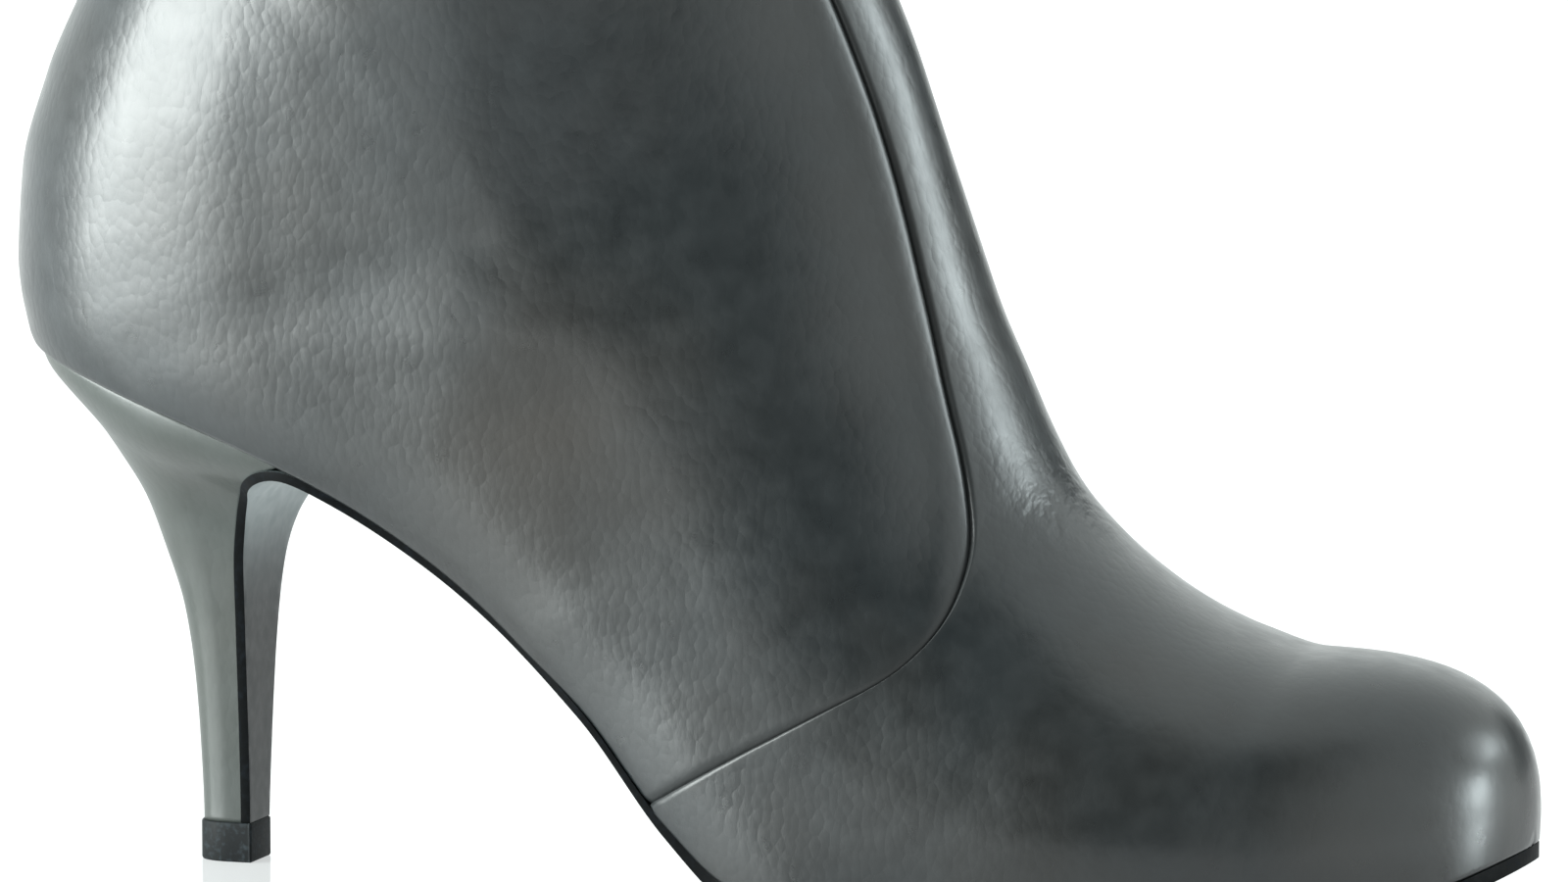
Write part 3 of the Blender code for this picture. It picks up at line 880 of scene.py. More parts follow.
heel = piece_from("covered_heel", bm)
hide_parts("heel")

# %% [markdown]
# ## Outsole
# The sole is one thin strip of black leather. It lies under the foot from the toe to the arch, bends
# down at the heel and runs along its breast as a flap. It could be cut out of a plate, but it bends
# twice. So it is one long grid between two borders, which follow the upper's lower edge first: flush
# at the waist, and standing out a little at the tread.

# %% Borders of the sole under the foot
WAIST_X, WAIST_END, TREAD_START = 54.0, 97.0, 134.0
TIP_START, TIP_END = 205.0, 232.0
WAIST_THICKNESS, TREAD_THICKNESS, TIP_THICKNESS = 1.2, 2.7, 2.0
SOLE_GAP = 0.3
SOLE_EDGE, FLUSH_EDGE = 1.0, 0.2
SOLE_BACK_ROW, SOLE_SAMPLES = 10, 900
WAY_SMOOTHING = 6


def last_border(rows, lift):
    """Outer and inner points of the last at a lift over the sole line, and their level outward ways."""
    points = []
    for side in (-1, 1):
        points.append(last_point(rows, angle_at(rows, sole_shares(side, rows, lift), side)))
    plan = np.concatenate([points[0][::-1], points[1]])[:, :2]
    way = np.gradient(plan, axis=0)
    for _ in range(WAY_SMOOTHING):
        way[1:-1] = (way[:-2] + way[1:-1] + way[2:]) / 3
    way = np.stack([way[:, 1], -way[:, 0], 0 * way[:, 0]], axis=1)
    way /= np.maximum(np.linalg.norm(way, axis=1, keepdims=True), TINY)
    return np.array(points), np.array([way[:len(rows)][::-1], way[len(rows):]])


def plate_borders():
    """Outer and inner border of the sole's upper and lower face, from the toe to the waist."""
    rows = TOE_END + (SOLE_BACK_ROW - TOE_END) * np.linspace(0, 1, SOLE_SAMPLES) ** 2
    points, ways = last_border(rows, 0.0)
    kept = points[0, :, 0] > WAIST_X
    points, ways = points[:, kept], ways[:, kept]
    x = points[..., 0]
    edge = FLUSH_EDGE + (SOLE_EDGE - FLUSH_EDGE) * ease(x, WAIST_X, WAIST_END)
    points = points + ways * edge[..., None]
    thickness = WAIST_THICKNESS + (TREAD_THICKNESS - WAIST_THICKNESS) * ease(x, WAIST_END, TREAD_START)
    thickness -= (TREAD_THICKNESS - TIP_THICKNESS) * ease(x, TIP_START, TIP_END)
    upper, lower = points.copy(), points.copy()
    upper[..., 2] = sole_height(points[..., 0])
    lower[..., 2] = upper[..., 2] - SOLE_GAP - thickness
    return np.array([upper, lower])


print("sole under the foot has", plate_borders().shape[2], "stations")

# %% [markdown]
# The flap takes over at the waist, between the two edges of the breast. A sheet of leather can't bend
# sharply, so the stations near the bend are rounded after they have been spread evenly.

# %% The flap and the bend
SOLE_STATIONS = 320
BEND_X, BEND_REACH, BEND_PASSES = 50.0, 9.0, 16


def flap_borders():
    """Outer and inner border of the flap's back and front face, from the waist down to the top piece."""
    back, front = breast_line(FLAP)[::-1], breast_line(0.0)[::-1]
    faces = []
    for face in (back, front):
        for side in (-1, 1):
            edge = heel_place(np.full(BREAST_STEPS, side), np.linspace(0, 1, BREAST_STEPS))
            y = np.interp(back[:, 1], edge[:, 2], edge[:, 1]) + side * FLUSH_EDGE
            faces.append(np.stack([face[:, 0], y, face[:, 1]], axis=1))
    return np.array(faces).reshape(2, 2, BREAST_STEPS, 3)


def even_stations(lines, count):
    """The same lines with even stations, and with the bend between sole and flap rounded."""
    walked = lengths_along(lines[1, 0])
    at = np.linspace(0, walked[-1], count)
    flat = lines.transpose(2, 0, 1, 3).reshape(len(walked), -1)
    flat = np.stack([np.interp(at, walked, column) for column in flat.T], axis=1)
    middle = np.interp(-BEND_X, -lines[1, 0, :, 0], walked)
    bend = np.exp(-((at - middle) / BEND_REACH) ** 2)[1:-1, None]
    for _ in range(BEND_PASSES):
        flat[1:-1] += bend * ((flat[:-2] + 2 * flat[1:-1] + flat[2:]) / 4 - flat[1:-1])
    return flat.reshape(count, 2, 2, 3).transpose(1, 2, 0, 3)


SOLE = even_stations(np.concatenate([plate_borders(), flap_borders()], axis=2), SOLE_STATIONS + 1)
print("sole from", SOLE[1, 0, 0].round(1), "to", SOLE[1, 0, -1].round(1))

# %% [markdown]
# A plate between two borders is a grid on its upper face, extruded to the lower one. Its sharp rim is
# bevelled, as a knife and a file trim a real sole. The faces of the rim get a finish of their own,
# because the cut edge is inked, and a soft spot marks where a painted reflection makes the bend pale.

# %% The sole with its flap
SOLE_COLUMNS = 12
SHARP = 0.9
RIM_BEVEL, BEVEL_SEGMENTS, BEVEL_PROFILE = 0.4, 3, 0.5
# soft spot of the painted reflection that makes the sole pale grey at the bend
PAINTED_REFLECTION_PLACE = np.array([43.0, 0.0, 56.0])
PAINTED_REFLECTION_SIZE = np.array([11.0, 60.0, 11.0])


def bevel_rim(bm, size, clamped):
    """Turn the faces outward and bevel every sharp edge."""
    bmesh.ops.recalc_face_normals(bm, faces=bm.faces)
    rim = [edge for edge in bm.edges if edge.calc_face_angle(0.0) > SHARP]
    bmesh.ops.bevel(bm, geom=rim, offset=size * MM, segments=BEVEL_SEGMENTS, profile=BEVEL_PROFILE,
                    affect="EDGES", material=-1, clamp_overlap=clamped)


def slab_piece(name, lines, columns):
    """Plate between the borders of two faces; the faces of its edge have the second material."""
    stations = lines.shape[2] - 1
    bm = bmesh.new()
    bmesh.ops.create_grid(bm, x_segments=columns, y_segments=stations, size=1.0)
    across, along, painted_reflection = [bm.verts.layers.float.new(layer) for layer in ("across", "along", "painted_reflection")]
    for vert in bm.verts:
        vert[across], vert[along] = (vert.co.x + 1) / 2, (1 - vert.co.y) / 2
    made = bmesh.ops.extrude_face_region(bm, geom=bm.faces[:])["geom"]
    under = {item for item in made if isinstance(item, bmesh.types.BMVert)}
    for face in bm.faces:
        face.material_index = int(0 < sum(vert in under for vert in face.verts) < len(face.verts))
    for vert in bm.verts:
        outer, inner = lines[1 if vert in under else 0]
        station = round(vert[along] * stations)
        point = outer[station] + (inner[station] - outer[station]) * vert[across]
        vert.co = to_scene(point)
        vert[painted_reflection] = soft_spot(point, PAINTED_REFLECTION_PLACE, PAINTED_REFLECTION_SIZE)
    bmesh.ops.remove_doubles(bm, verts=bm.verts, dist=DOUBLES)
    bevel_rim(bm, RIM_BEVEL, True)
    return piece_from(name, bm)


sole = slab_piece("leather_sole", SOLE, SOLE_COLUMNS)
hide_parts("outsole")

# %% [markdown]
# ## Insole
# Under the foot lies a leather-covered board, from the toe to the back of the heel. It has the form
# of the sole line a little way up the inside of the wall, so the same plate function makes it.

# %% The insole
INSOLE_TOP, INSOLE_FOOT = 2.2, 0.2
INSOLE_GAP = 0.25
INSOLE_COLUMNS, INSOLE_STATIONS = 16, 180


def insole_lines():
    """Borders of the insole's two faces, inside the lining."""
    shares = sole_shares(-1, MAP_ROWS, INSOLE_TOP)
    open_rows = MAP_ROWS[(shares < 1) & (shares > 0)]
    place = (1 - np.cos(np.linspace(0, math.pi, INSOLE_STATIONS + 1))) / 2
    rows = open_rows[0] + (open_rows[-1] - open_rows[0]) * place
    lines = []
    for lift in (INSOLE_TOP, INSOLE_FOOT):
        points, ways = last_border(rows, lift)
        points = points - ways * (WALL + INSOLE_GAP)
        points[..., 2] = sole_height(points[..., 0]) + lift
        lines.append(points)
    return np.array(lines)


insole = slab_piece("insole_board", insole_lines(), INSOLE_COLUMNS)
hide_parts("insole")

# %% [markdown]
# ## Top piece
# The heel stands on a small block of hard rubber, nailed under it and trimmed flush. It has the heel's
# own D-shaped outline, so a circle is pressed into that outline, extruded, cut off at the breast and
# bevelled.

# %% The top piece
TOP_PIECE = 6.0
TOP_PIECE_GROWTH = 1.07
TOP_PIECE_FRONT = 0.2
TOP_PIECE_SIDES = 160
TOP_PIECE_BEVEL = 0.35
CUT_DOUBLES = 1e-5
foot = heel_section(HEEL_ROWS[0])
foot_middle = np.array([(foot["back_x"] + foot["front_x"]) / 2, 0.0, 0.0])
bm = bmesh.new()
bmesh.ops.create_circle(bm, cap_ends=True, segments=TOP_PIECE_SIDES, radius=1.0)
for vert in bm.verts:
    outline = ring_point(foot, math.atan2(vert.co.y, vert.co.x)) * np.array([1, 1, 0])
    vert.co = to_scene(foot_middle + (outline - foot_middle) * TOP_PIECE_GROWTH)
made = bmesh.ops.extrude_face_region(bm, geom=bm.faces[:])["geom"]
lifted = [item for item in made if isinstance(item, bmesh.types.BMVert)]
bmesh.ops.translate(bm, verts=lifted, vec=(0, 0, TOP_PIECE * MM))
front = to_scene(np.array([BREAST[0, 0] + TOP_PIECE_FRONT, 0.0, 0.0]))
everything = bm.verts[:] + bm.edges[:] + bm.faces[:]
bmesh.ops.bisect_plane(bm, geom=everything, plane_co=front, plane_no=(1, 0, 0), clear_outer=True)
bmesh.ops.holes_fill(bm, edges=[edge for edge in bm.edges if edge.is_boundary], sides=0)
bmesh.ops.remove_doubles(bm, verts=bm.verts, dist=CUT_DOUBLES)
bevel_rim(bm, TOP_PIECE_BEVEL, False)
top_piece = piece_from("rubber_top_piece", bm)
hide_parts("heel_top_piece")

# %% [markdown]
# ## Finishes
# Colours are picked as sRGB hex values, and the shader wants linear light, so one function converts
# them. Another adds a node with its settings and links. Patterns read the Object coordinates, which
# are metres here, so a pattern's scale is one over its real size. A photographed leather would bring
# its own light and its own edges along, so every finish is made of noise and of the soft spots.

# %% Helpers for materials
def linear(hex_colour):
    """Linear colour of an sRGB hex value."""
    channels = [int(hex_colour[i:i + 2], 16) / 255 for i in (1, 3, 5)]
    return tuple(c / 12.92 if c <= 0.04045 else ((c + 0.055) / 1.055) ** 2.4 for c in channels) + (1.0,)


def add(tree, kind, inputs=None, **settings):
    """Node with its settings; an input is a value, or another node's output to link."""
    made = tree.nodes.new(kind)
    for name, value in settings.items():
        setattr(made, name, value)
    for name, value in (inputs or {}).items():
        if isinstance(value, bpy.types.NodeSocket):
            tree.links.new(value, made.inputs[name])
        else:
            made.inputs[name].default_value = value
    return made


def new_material(name):
    """Empty node material with its shader and the Object coordinates."""
    material = bpy.data.materials.new(name)
    material.use_nodes = True
    tree = material.node_tree
    return material, tree, tree.nodes["Principled BSDF"], add(tree, "ShaderNodeTexCoord").outputs["Object"]


def per_mm(size):
    """Scale of a pattern whose marks are so many millimetres wide."""
    return 1 / (size * MM)


print("a mid grey is", [round(c, 3) for c in linear("#5a5f5e")[:3]], "in linear light")

# %% [markdown]
# ### Colour of calf leather
# The upper is smooth calf, dyed through, waxed and burnished by hand. The eye sees cloudy greys, a
# little warmer where hands pull the boot on. Near the seam and along the seat a painted shade darkens
# them nearly to black. The clouds come from noise at two real sizes. What is not there by chance, such
# as the painted shade at the seam, comes from the soft spots that were kept on the points.

# %% Colour of calf leather
CLOUD, MOTTLE, PATCH = 26.0, 4.5, 38.0
BURNISH_LOW, BURNISH_HIGH = 0.75, 1.25
PATCH_LOW, PATCH_HIGH, PATCH_WARMTH = 0.45, 0.7, 0.3
HANDLED_WARMTH = 0.5
# painted shade in the seam and along the seat: its colour, and how strongly it is mixed in
PAINTED_SEAM_SHADE_BLACK, SEAM_SHADE = "#121515", 0.55


def leather_colour(tree, place, mottle, seam, dark, light, warm):
    """Cloudy grey from dark to light, warm in patches and where it is handled, with painted shade in the
    seam.
    """
    clouds = add(tree, "ShaderNodeTexNoise", {"Vector": place, "Scale": per_mm(CLOUD), "Detail": 3.0})
    burnish = add(tree, "ShaderNodeMath", {0: clouds.outputs["Fac"], 1: mottle}, operation="ADD")
    tone = add(tree, "ShaderNodeMapRange",
               {"Value": burnish.outputs[0], "From Min": BURNISH_LOW, "From Max": BURNISH_HIGH})
    grey = add(tree, "ShaderNodeMix", {"Factor": tone.outputs[0], 6: linear(dark), 7: linear(light)},
               data_type="RGBA")
    patches = add(tree, "ShaderNodeTexNoise", {"Vector": place, "Scale": per_mm(PATCH), "Detail": 2.0})
    patchy = add(tree, "ShaderNodeMapRange",
                 {"Value": patches.outputs["Fac"], "From Min": PATCH_LOW, "From Max": PATCH_HIGH,
                  "To Max": PATCH_WARMTH})
    handled = add(tree, "ShaderNodeAttribute", attribute_name="handled")
    amount = add(tree, "ShaderNodeMath",
                 {0: handled.outputs["Fac"], 1: HANDLED_WARMTH, 2: patchy.outputs[0]},
                 operation="MULTIPLY_ADD")
    warmed = add(tree, "ShaderNodeMix", {"Factor": amount.outputs[0], 6: grey.outputs[2], 7: linear(warm)},
                 data_type="RGBA")
    # painted shade: the seam value darkens the colour towards black in the seam and along the seat
    painted_seam_shade = add(tree, "ShaderNodeMath", {0: seam, 1: SEAM_SHADE}, operation="MULTIPLY")
    shaded = add(tree, "ShaderNodeMix",
                 {"Factor": painted_seam_shade.outputs[0], 6: warmed.outputs[2], 7: linear(PAINTED_SEAM_SHADE_BLACK)}, data_type="RGBA")
    return shaded.outputs[2]


print("clouds of", CLOUD, "mm and mottle of", MOTTLE, "mm")

# %% [markdown]
# ### Grain of calf leather
# Calf has low pebbles with fine pores, and over the toe it is pulled so tight that they nearly go. The
# eye sees this grain only where a highlight ends. True pores are finer than a tenth of a millimetre
# and would not show from here, so both are drawn as coarse as they need to be to show. At the bend of
# the instep the upper has fine crinkles too. Grain as geometry would take millions of faces, so it is
# a bump, with its depth in real millimetres.

# %% Grain of calf leather
PEBBLE, PEBBLE_DEPTH, PEBBLE_STRETCH = 1.25, 0.12, (1.0, 1.0, 0.7)
PORE, PORE_DEPTH, PORE_SHARE = 0.5, 0.05, 0.6
CRINKLE, CRINKLE_DEPTH = 1.3, 0.4
CRINKLE_TURN, CRINKLE_STRETCH = (0.0, 0.6, 0.0), (1.0, 0.35, 0.5)
PULL_START, PULL_END, PULLED_SHARE = 0.03, 0.09, 0.35


def leather_relief(tree, place, grain, crinkled):
    """Pebbles and pores, lower towards the toe, with crinkles at the bend if the leather has them."""
    tall = add(tree, "ShaderNodeMapping", {"Vector": place, "Scale": PEBBLE_STRETCH})
    pebble = add(tree, "ShaderNodeTexVoronoi", {"Vector": tall.outputs[0], "Scale": per_mm(PEBBLE)})
    dome = add(tree, "ShaderNodeMath", {0: pebble.outputs["Distance"], 1: 2.0}, operation="POWER")
    along = add(tree, "ShaderNodeSeparateXYZ", {0: place})
    pulled = add(tree, "ShaderNodeMapRange",
                 {"Value": along.outputs[0], "From Min": PULL_START, "From Max": PULL_END,
                  "To Min": grain, "To Max": grain * PULLED_SHARE})
    relief = add(tree, "ShaderNodeBump",
                 {"Height": dome.outputs[0], "Strength": pulled.outputs[0], "Distance": PEBBLE_DEPTH * MM},
                 invert=True)
    if crinkled:
        bend = add(tree, "ShaderNodeAttribute", attribute_name="bend")
        askew = add(tree, "ShaderNodeMapping",
                    {"Vector": place, "Rotation": CRINKLE_TURN, "Scale": CRINKLE_STRETCH})
        lines = add(tree, "ShaderNodeTexNoise",
                    {"Vector": askew.outputs[0], "Scale": per_mm(CRINKLE), "Detail": 2.0})
        relief = add(tree, "ShaderNodeBump",
                     {"Height": lines.outputs["Fac"], "Strength": bend.outputs["Fac"],
                      "Distance": CRINKLE_DEPTH * MM, "Normal": relief.outputs[0]})
    pore = add(tree, "ShaderNodeTexNoise", {"Vector": place, "Scale": per_mm(PORE), "Detail": 3.0})
    fine = add(tree, "ShaderNodeBump",
               {"Height": pore.outputs["Fac"], "Strength": grain * PORE_SHARE,
                "Distance": PORE_DEPTH * MM, "Normal": relief.outputs[0]})
    return fine.outputs[0]


print("pebbles of", PEBBLE, "mm,", PEBBLE_DEPTH, "mm deep")

# %% [markdown]
# ### Burnished upper
# Burnishing leaves a film of wax over the leather, so a highlight has a soft bright middle with a wide
# skirt. A coat over a rougher ground gives just that. The gloss is a little uneven with the mottle, and
# the seam, which no brush reaches, stays dull.

# %% Upper leather
GLOSS_LOW, GLOSS_HIGH, GLOSSIER, DULLER = 0.3, 0.7, 0.05, 0.06
SEAM_DULL = 0.45
LEATHER_IOR = 1.5
WAX, WAX_ROUGHNESS = 0.35, 0.22


def calf_leather(name, dark, light, warm, roughness, grain, crinkled=False):
    """Leather with a cloudy colour, an uneven gloss and a grain, under a film of wax."""
    material, tree, shader, place = new_material(name)
    mottle = add(tree, "ShaderNodeTexNoise", {"Vector": place, "Scale": per_mm(MOTTLE), "Detail": 4.0})
    seam = add(tree, "ShaderNodeAttribute", attribute_name="seam")
    colour = leather_colour(tree, place, mottle.outputs["Fac"], seam.outputs["Fac"], dark, light, warm)
    tree.links.new(colour, shader.inputs["Base Color"])
    gloss = add(tree, "ShaderNodeMapRange",
                {"Value": mottle.outputs["Fac"], "From Min": GLOSS_LOW, "From Max": GLOSS_HIGH,
                 "To Min": roughness - GLOSSIER, "To Max": roughness + DULLER})
    dull = add(tree, "ShaderNodeMath", {0: seam.outputs["Fac"], 1: SEAM_DULL, 2: gloss.outputs[0]},
               operation="MULTIPLY_ADD")
    tree.links.new(dull.outputs[0], shader.inputs["Roughness"])
    tree.links.new(leather_relief(tree, place, grain, crinkled), shader.inputs["Normal"])
    shader.inputs["IOR"].default_value = LEATHER_IOR
    shader.inputs["Coat Weight"].default_value = WAX
    shader.inputs["Coat Roughness"].default_value = WAX_ROUGHNESS
    return material


# Burnished calf: cool dark greys with soft highlights, brown only in patches.
upper_leather = calf_leather("burnished_calf_leather", dark="#1b2022", light="#24292b", warm="#2a251f",
                             roughness=0.32, grain=0.36, crinkled=True)
for piece in (front_panel, quarter):
    piece.data.materials.append(upper_leather)
print("upper:", upper_leather.name, len(upper_leather.node_tree.nodes), "nodes")

# %% [markdown]
# ### Leather of heel, lining and insole
# The heel's cover is the same calf, drawn wet over the block and left matte, so it looks paler and
# plainer than the upper. Lining and insole are undyed pigskin: warm, dull, and with a stronger grain.
# All are leather, so the same function makes them with other values.

# %% Heel, lining and insole leather
# Matte calf: an even pale grey whose highlights spread wide.
heel_leather = calf_leather("matte_calf_leather", dark="#353b38", light="#3f4442", warm="#3f3c36",
                            roughness=0.5, grain=0.3)
heel.data.materials.append(heel_leather)
# Pigskin: a warm light grey, soft to the eye and without gloss.
lining_leather = calf_leather("pigskin_lining_leather", dark="#6f6c66", light="#827e77", warm="#857a6c",
                              roughness=0.6, grain=0.5)
lining.data.materials.append(lining_leather)
for _ in range(2):
    insole.data.materials.append(lining_leather)
print("heel:", heel_leather.name, "- lining and insole:", lining_leather.name)

# %% [markdown]
# ### Black of the sole and the top piece
# The sole is black leather rubbed with wax, with a painted reflection that makes it pale grey where it
# is bent over into the flap. Its trimmed edge is painted with ink, which has nearly no shine and so draws
# a fine black line round the boot. The top piece is moulded rubber with grey specks of filler. All three
# are a dark ground with specks, so one function makes them; it takes the size of a speck in millimetres.

# %% Sole leather and rubber
SPECK_LOW, SPECK_HIGH = 0.5, 0.75
GRIT_GLOSSIER, GRIT_DULLER = 0.05, 0.08
GRIT_RELIEF, GRIT_DEPTH = 0.3, 0.1


def black_finish(name, base, speck, speck_size, roughness, mirror, reflection_colour=None):
    """Black sole material: a dark ground with lighter specks, a slightly uneven gloss, and a painted
    reflection where its colour is given.
    """
    material, tree, shader, place = new_material(name)
    grit = add(tree, "ShaderNodeTexNoise", {"Vector": place, "Scale": per_mm(speck_size), "Detail": 3.0})
    amount = add(tree, "ShaderNodeMapRange",
                 {"Value": grit.outputs["Fac"], "From Min": SPECK_LOW, "From Max": SPECK_HIGH})
    colour = add(tree, "ShaderNodeMix", {"Factor": amount.outputs[0], 6: linear(base), 7: linear(speck)},
                 data_type="RGBA")
    # painted reflection: a pale colour mixed in at the bend by the soft spot
    if reflection_colour:
        painted_reflection = add(tree, "ShaderNodeAttribute", attribute_name="painted_reflection")
        colour = add(tree, "ShaderNodeMix",
                     {"Factor": painted_reflection.outputs["Fac"], 6: colour.outputs[2], 7: linear(reflection_colour)},
                     data_type="RGBA")
    tree.links.new(colour.outputs[2], shader.inputs["Base Color"])
    gloss = add(tree, "ShaderNodeMapRange",
                {"Value": grit.outputs["Fac"], "From Min": GLOSS_LOW, "From Max": GLOSS_HIGH,
                 "To Min": roughness - GRIT_GLOSSIER, "To Max": roughness + GRIT_DULLER})
    tree.links.new(gloss.outputs[0], shader.inputs["Roughness"])
    relief = add(tree, "ShaderNodeBump",
                 {"Height": grit.outputs["Fac"], "Strength": GRIT_RELIEF, "Distance": GRIT_DEPTH * MM})
    tree.links.new(relief.outputs[0], shader.inputs["Normal"])
    shader.inputs["Specular IOR Level"].default_value = mirror
    return material


# Waxed leather: a satin black, with a painted reflection in pale grey at the bend.
waxed_leather = black_finish("waxed_sole_leather", base="#15191a", speck="#222728", speck_size=2.0,
                             roughness=0.34, mirror=0.38, reflection_colour="#98a5a7")
# Edge ink: a flat black line.
edge_ink = black_finish("inked_sole_edge", base="#0a0c0d", speck="#12161a", speck_size=1.2,
                        roughness=0.5, mirror=0.05)
# Hard rubber: a dull black with fine grey specks.
rubber = black_finish("hard_black_rubber", base="#0e1214", speck="#2a3135", speck_size=0.9,
                      roughness=0.6, mirror=0.2)
sole.data.materials.append(waxed_leather)
sole.data.materials.append(edge_ink)
top_piece.data.materials.append(rubber)
print("sole and top piece:", waxed_leather.name, edge_ink.name, rubber.name)

# %% [markdown]
# ## Floor
# The boot stands on a sheet of opal acrylic that is lit from below, as on a light table. The eye sees
# plain white, with a faint mirror image under the heel. A white backdrop would look the same behind the
# boot, but the glowing sheet also throws white up on to its sides. A weak haze keeps its polish from
# being perfect.

# %% Floor
FLOOR_HALF = 4.0
HAZE = 60.0
POLISH_LOW, POLISH_HIGH = 0.08, 0.12
TABLE_GLOW = 0.56
bm = bmesh.new()
bmesh.ops.create_grid(bm, x_segments=1, y_segments=1, size=FLOOR_HALF)
mesh = bpy.data.meshes.new("floor")
bm.to_mesh(mesh)
bm.free()
floor = bpy.data.objects.new("floor", mesh)
bpy.context.scene.collection.objects.link(floor)
# Opal acrylic: a white that glows by itself, under a clear gloss.
material, tree, shader, place = new_material("opal_acrylic_table")
haze = add(tree, "ShaderNodeTexNoise", {"Vector": place, "Scale": per_mm(HAZE), "Detail": 2.0})
sheet = add(tree, "ShaderNodeMix",
            {"Factor": haze.outputs["Fac"], 6: linear("#8a8d8d"), 7: linear("#909191")}, data_type="RGBA")
tree.links.new(sheet.outputs[2], shader.inputs["Base Color"])
polish = add(tree, "ShaderNodeMapRange",
             {"Value": haze.outputs["Fac"], "To Min": POLISH_LOW, "To Max": POLISH_HIGH})
tree.links.new(polish.outputs[0], shader.inputs["Roughness"])
shader.inputs["Emission Color"].default_value = linear("#fcffff")
shader.inputs["Emission Strength"].default_value = TABLE_GLOW
mesh.materials.append(material)
print("floor of", 2 * FLOOR_HALF, "m in", material.name)

# %% [markdown]
# ## Softboxes
# Each highlight on the leather is the image of a light. The broad one on the heel's back is a softbox
# on the left, and two bright cards that lie on the table brighten the sides that lean down. A small
# softbox far off makes the spot on the toe. Another makes the long band down the front of the shaft; a
# honeycomb grid keeps its beam narrow, so that it makes no second spot on the toe. A light keeps its
# power when its beam gets narrower, so the power is cut to leave its brightness as it was.

# %% Softboxes
from mathutils import Vector

Softbox = namedtuple("Softbox", "name place aim width height radiance colour grid")
NO_GRID = 90.0
BOOT_MIDDLE, BAND, TOE = (0.0, 0.0, 0.08), (0.022, -0.02, 0.125), (0.105, -0.02, 0.03)
NEUTRAL, COOL = "#f8fffd", "#f0fdff"
SOFTBOXES = [
    Softbox("left_softbox", (-0.465, -0.295, 0.213), BOOT_MIDDLE, 0.375, 0.425, 14.5, NEUTRAL, NO_GRID),
    Softbox("left_card", (-0.55, -0.70, 0.004), (-0.55, -0.70, 1.0), 0.42, 0.36, 5.0, NEUTRAL, NO_GRID),
    Softbox("front_card", (-0.19, -0.78, 0.004), (-0.19, -0.78, 1.0), 0.26, 0.26, 4.5, NEUTRAL, NO_GRID),
    Softbox("toe_softbox", (1.25, 0.266, 0.165), TOE, 0.25, 0.25, 19.0, COOL, NO_GRID),
    Softbox("band_softbox", (0.432, 0.222, 0.281), BAND, 0.18, 0.24, 11.5, COOL, 17.0),
]


def put(obj, place, aim):
    """Put an object of the studio at a place, facing another."""
    obj.location = place
    obj.rotation_euler = (Vector(aim) - Vector(place)).to_track_quat("-Z", "Y").to_euler()
    bpy.context.scene.collection.objects.link(obj)


for box in SOFTBOXES:
    light = bpy.data.lights.new(box.name, "AREA")
    light.shape = "RECTANGLE"
    light.size, light.size_y = box.width, box.height
    light.energy = box.radiance * math.pi * box.width * box.height
    if box.grid < NO_GRID:
        half_beam = math.radians(box.grid)
        light.spread = 2 * half_beam
        light.energy *= 1 - half_beam / math.tan(half_beam)
    light.color = linear(box.colour)[:3]
    lamp = bpy.data.objects.new(box.name, light)
    lamp.visible_camera = False
    put(lamp, box.place, box.aim)
    print(box.name, round(light.energy, 2), "W")

# %% [markdown]
# ## Light tent
# Round it all hangs a tent of white cloth, which lights the boot from every side. It is open where the
# camera stands and has a darker corner behind the boot. Their dark reflections give the leather its
# depth. Walls of cloth could be modelled, but the tent is far off compared with the boot, so the
# world's light by direction is enough: each edge fades between two cosines of the angle to it.

# %% Light tent
TENT_RADIANCE, OPENING_RADIANCE, CORNER_RADIANCE = 1.2, 0.17, 0.12
OPENING_AZIMUTH, OPENING_FRONT, OPENING_SIDES = 6.0, (0.05, 0.45), (0.7, 0.25)
CORNER_AZIMUTH, CORNER_ELEVATION, CORNER_EDGE = 156.0, 5.0, (0.93, 0.985)


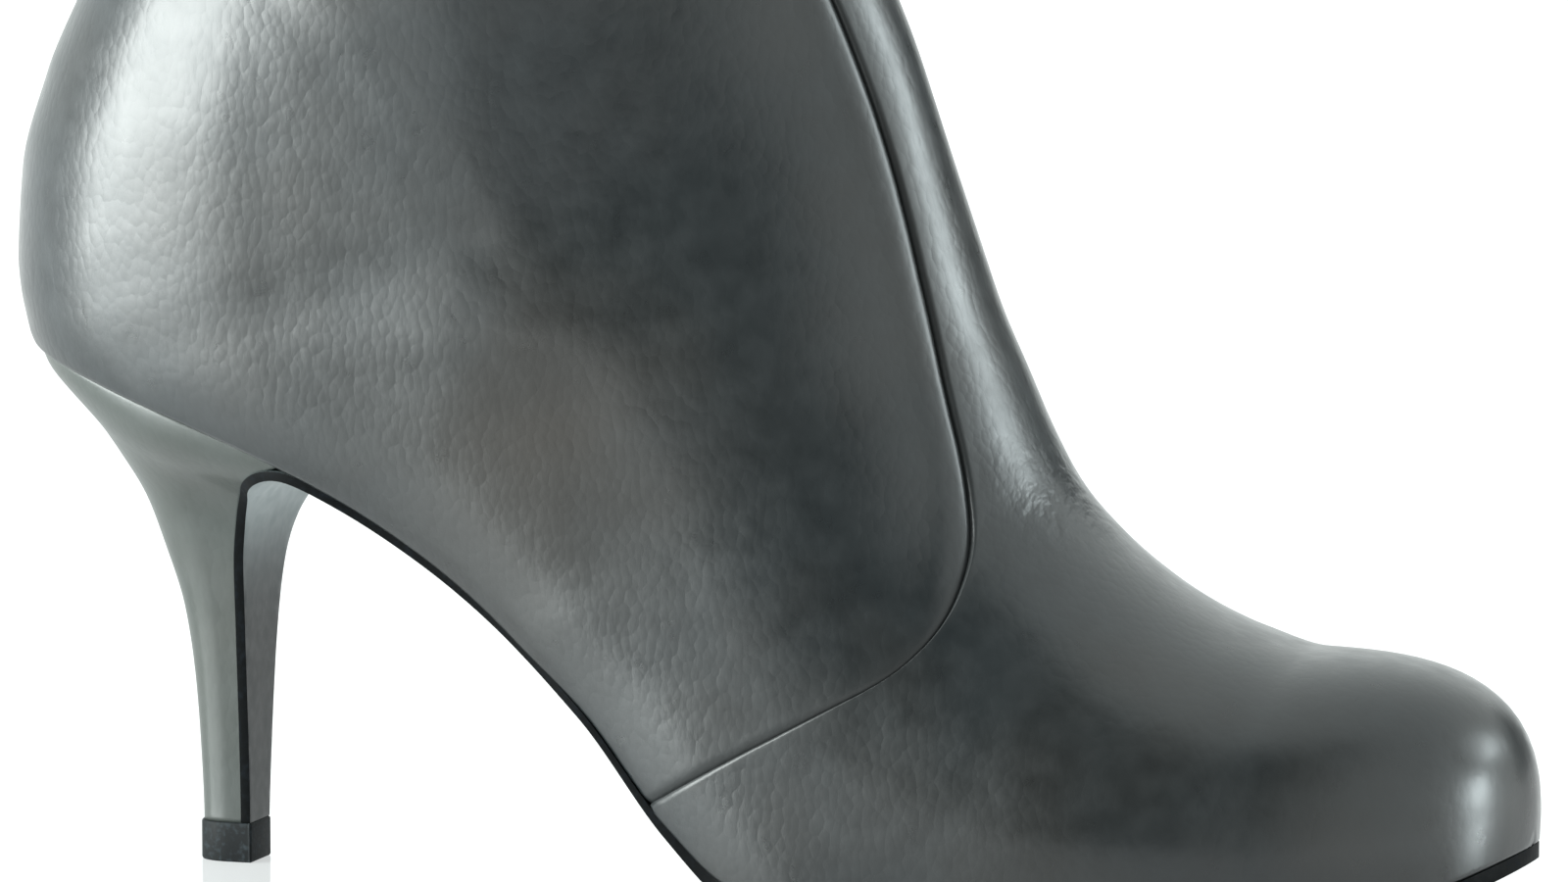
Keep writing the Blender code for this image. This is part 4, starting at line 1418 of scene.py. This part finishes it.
def direction(azimuth, elevation):
    """Way from the boot to a place seen at an azimuth and elevation in degrees."""
    turn, rise = math.radians(azimuth), math.radians(elevation)
    return Vector((math.sin(turn) * math.cos(rise), -math.cos(turn) * math.cos(rise), math.sin(rise)))


world = bpy.data.worlds.new("light_tent")
bpy.context.scene.world = world
world.use_nodes = True
tree = world.node_tree
sight = add(tree, "ShaderNodeTexCoord").outputs["Generated"]
ahead, aside, toward = (
    add(tree, "ShaderNodeVectorMath", {0: sight, 1: way}, operation="DOT_PRODUCT").outputs["Value"]
    for way in (direction(OPENING_AZIMUTH, 0), direction(OPENING_AZIMUTH + 90, 0),
                direction(CORNER_AZIMUTH, CORNER_ELEVATION))
)
apart = add(tree, "ShaderNodeMath", {0: aside}, operation="ABSOLUTE")
edges = [(ahead, *OPENING_FRONT), (apart.outputs[0], *OPENING_SIDES), (toward, *CORNER_EDGE)]
before, within, corner = (
    add(tree, "ShaderNodeMapRange", {"Value": value, "From Min": start, "From Max": end},
        interpolation_type="SMOOTHSTEP").outputs[0]
    for value, start, end in edges
)
opening = add(tree, "ShaderNodeMath", {0: before, 1: within}, operation="MULTIPLY")
wall = add(tree, "ShaderNodeMix", {"Factor": corner, 2: TENT_RADIANCE, 3: CORNER_RADIANCE})
glow = add(tree, "ShaderNodeMix", {"Factor": opening.outputs[0], 2: wall.outputs[0], 3: OPENING_RADIANCE})
background = tree.nodes["Background"]
background.inputs["Color"].default_value = linear(NEUTRAL)
tree.links.new(glow.outputs[0], background.inputs["Strength"])
bpy.context.scene.view_settings.view_transform = "Standard"
print("tent of", len(tree.nodes), "nodes")

# %% [markdown]
# ## Camera
# The photograph looks at the outer side, a little from the toe end and a little from above. A long
# lens from far away keeps toe and heel at nearly the same scale.

# %% Camera
TARGET = Vector((0.0031, -0.0009, 0.0663))
AZIMUTH, ELEVATION, DISTANCE = 18.0, 7.0, 1.6
LENS, SENSOR = 250.0, 36.0
data = bpy.data.cameras.new("camera")
data.lens = LENS
data.sensor_width = SENSOR
camera = bpy.data.objects.new("camera", data)
put(camera, TARGET + direction(AZIMUTH, ELEVATION) * DISTANCE, TARGET)
bpy.context.scene.camera = camera
print("camera at", [round(value, 3) for value in camera.location])
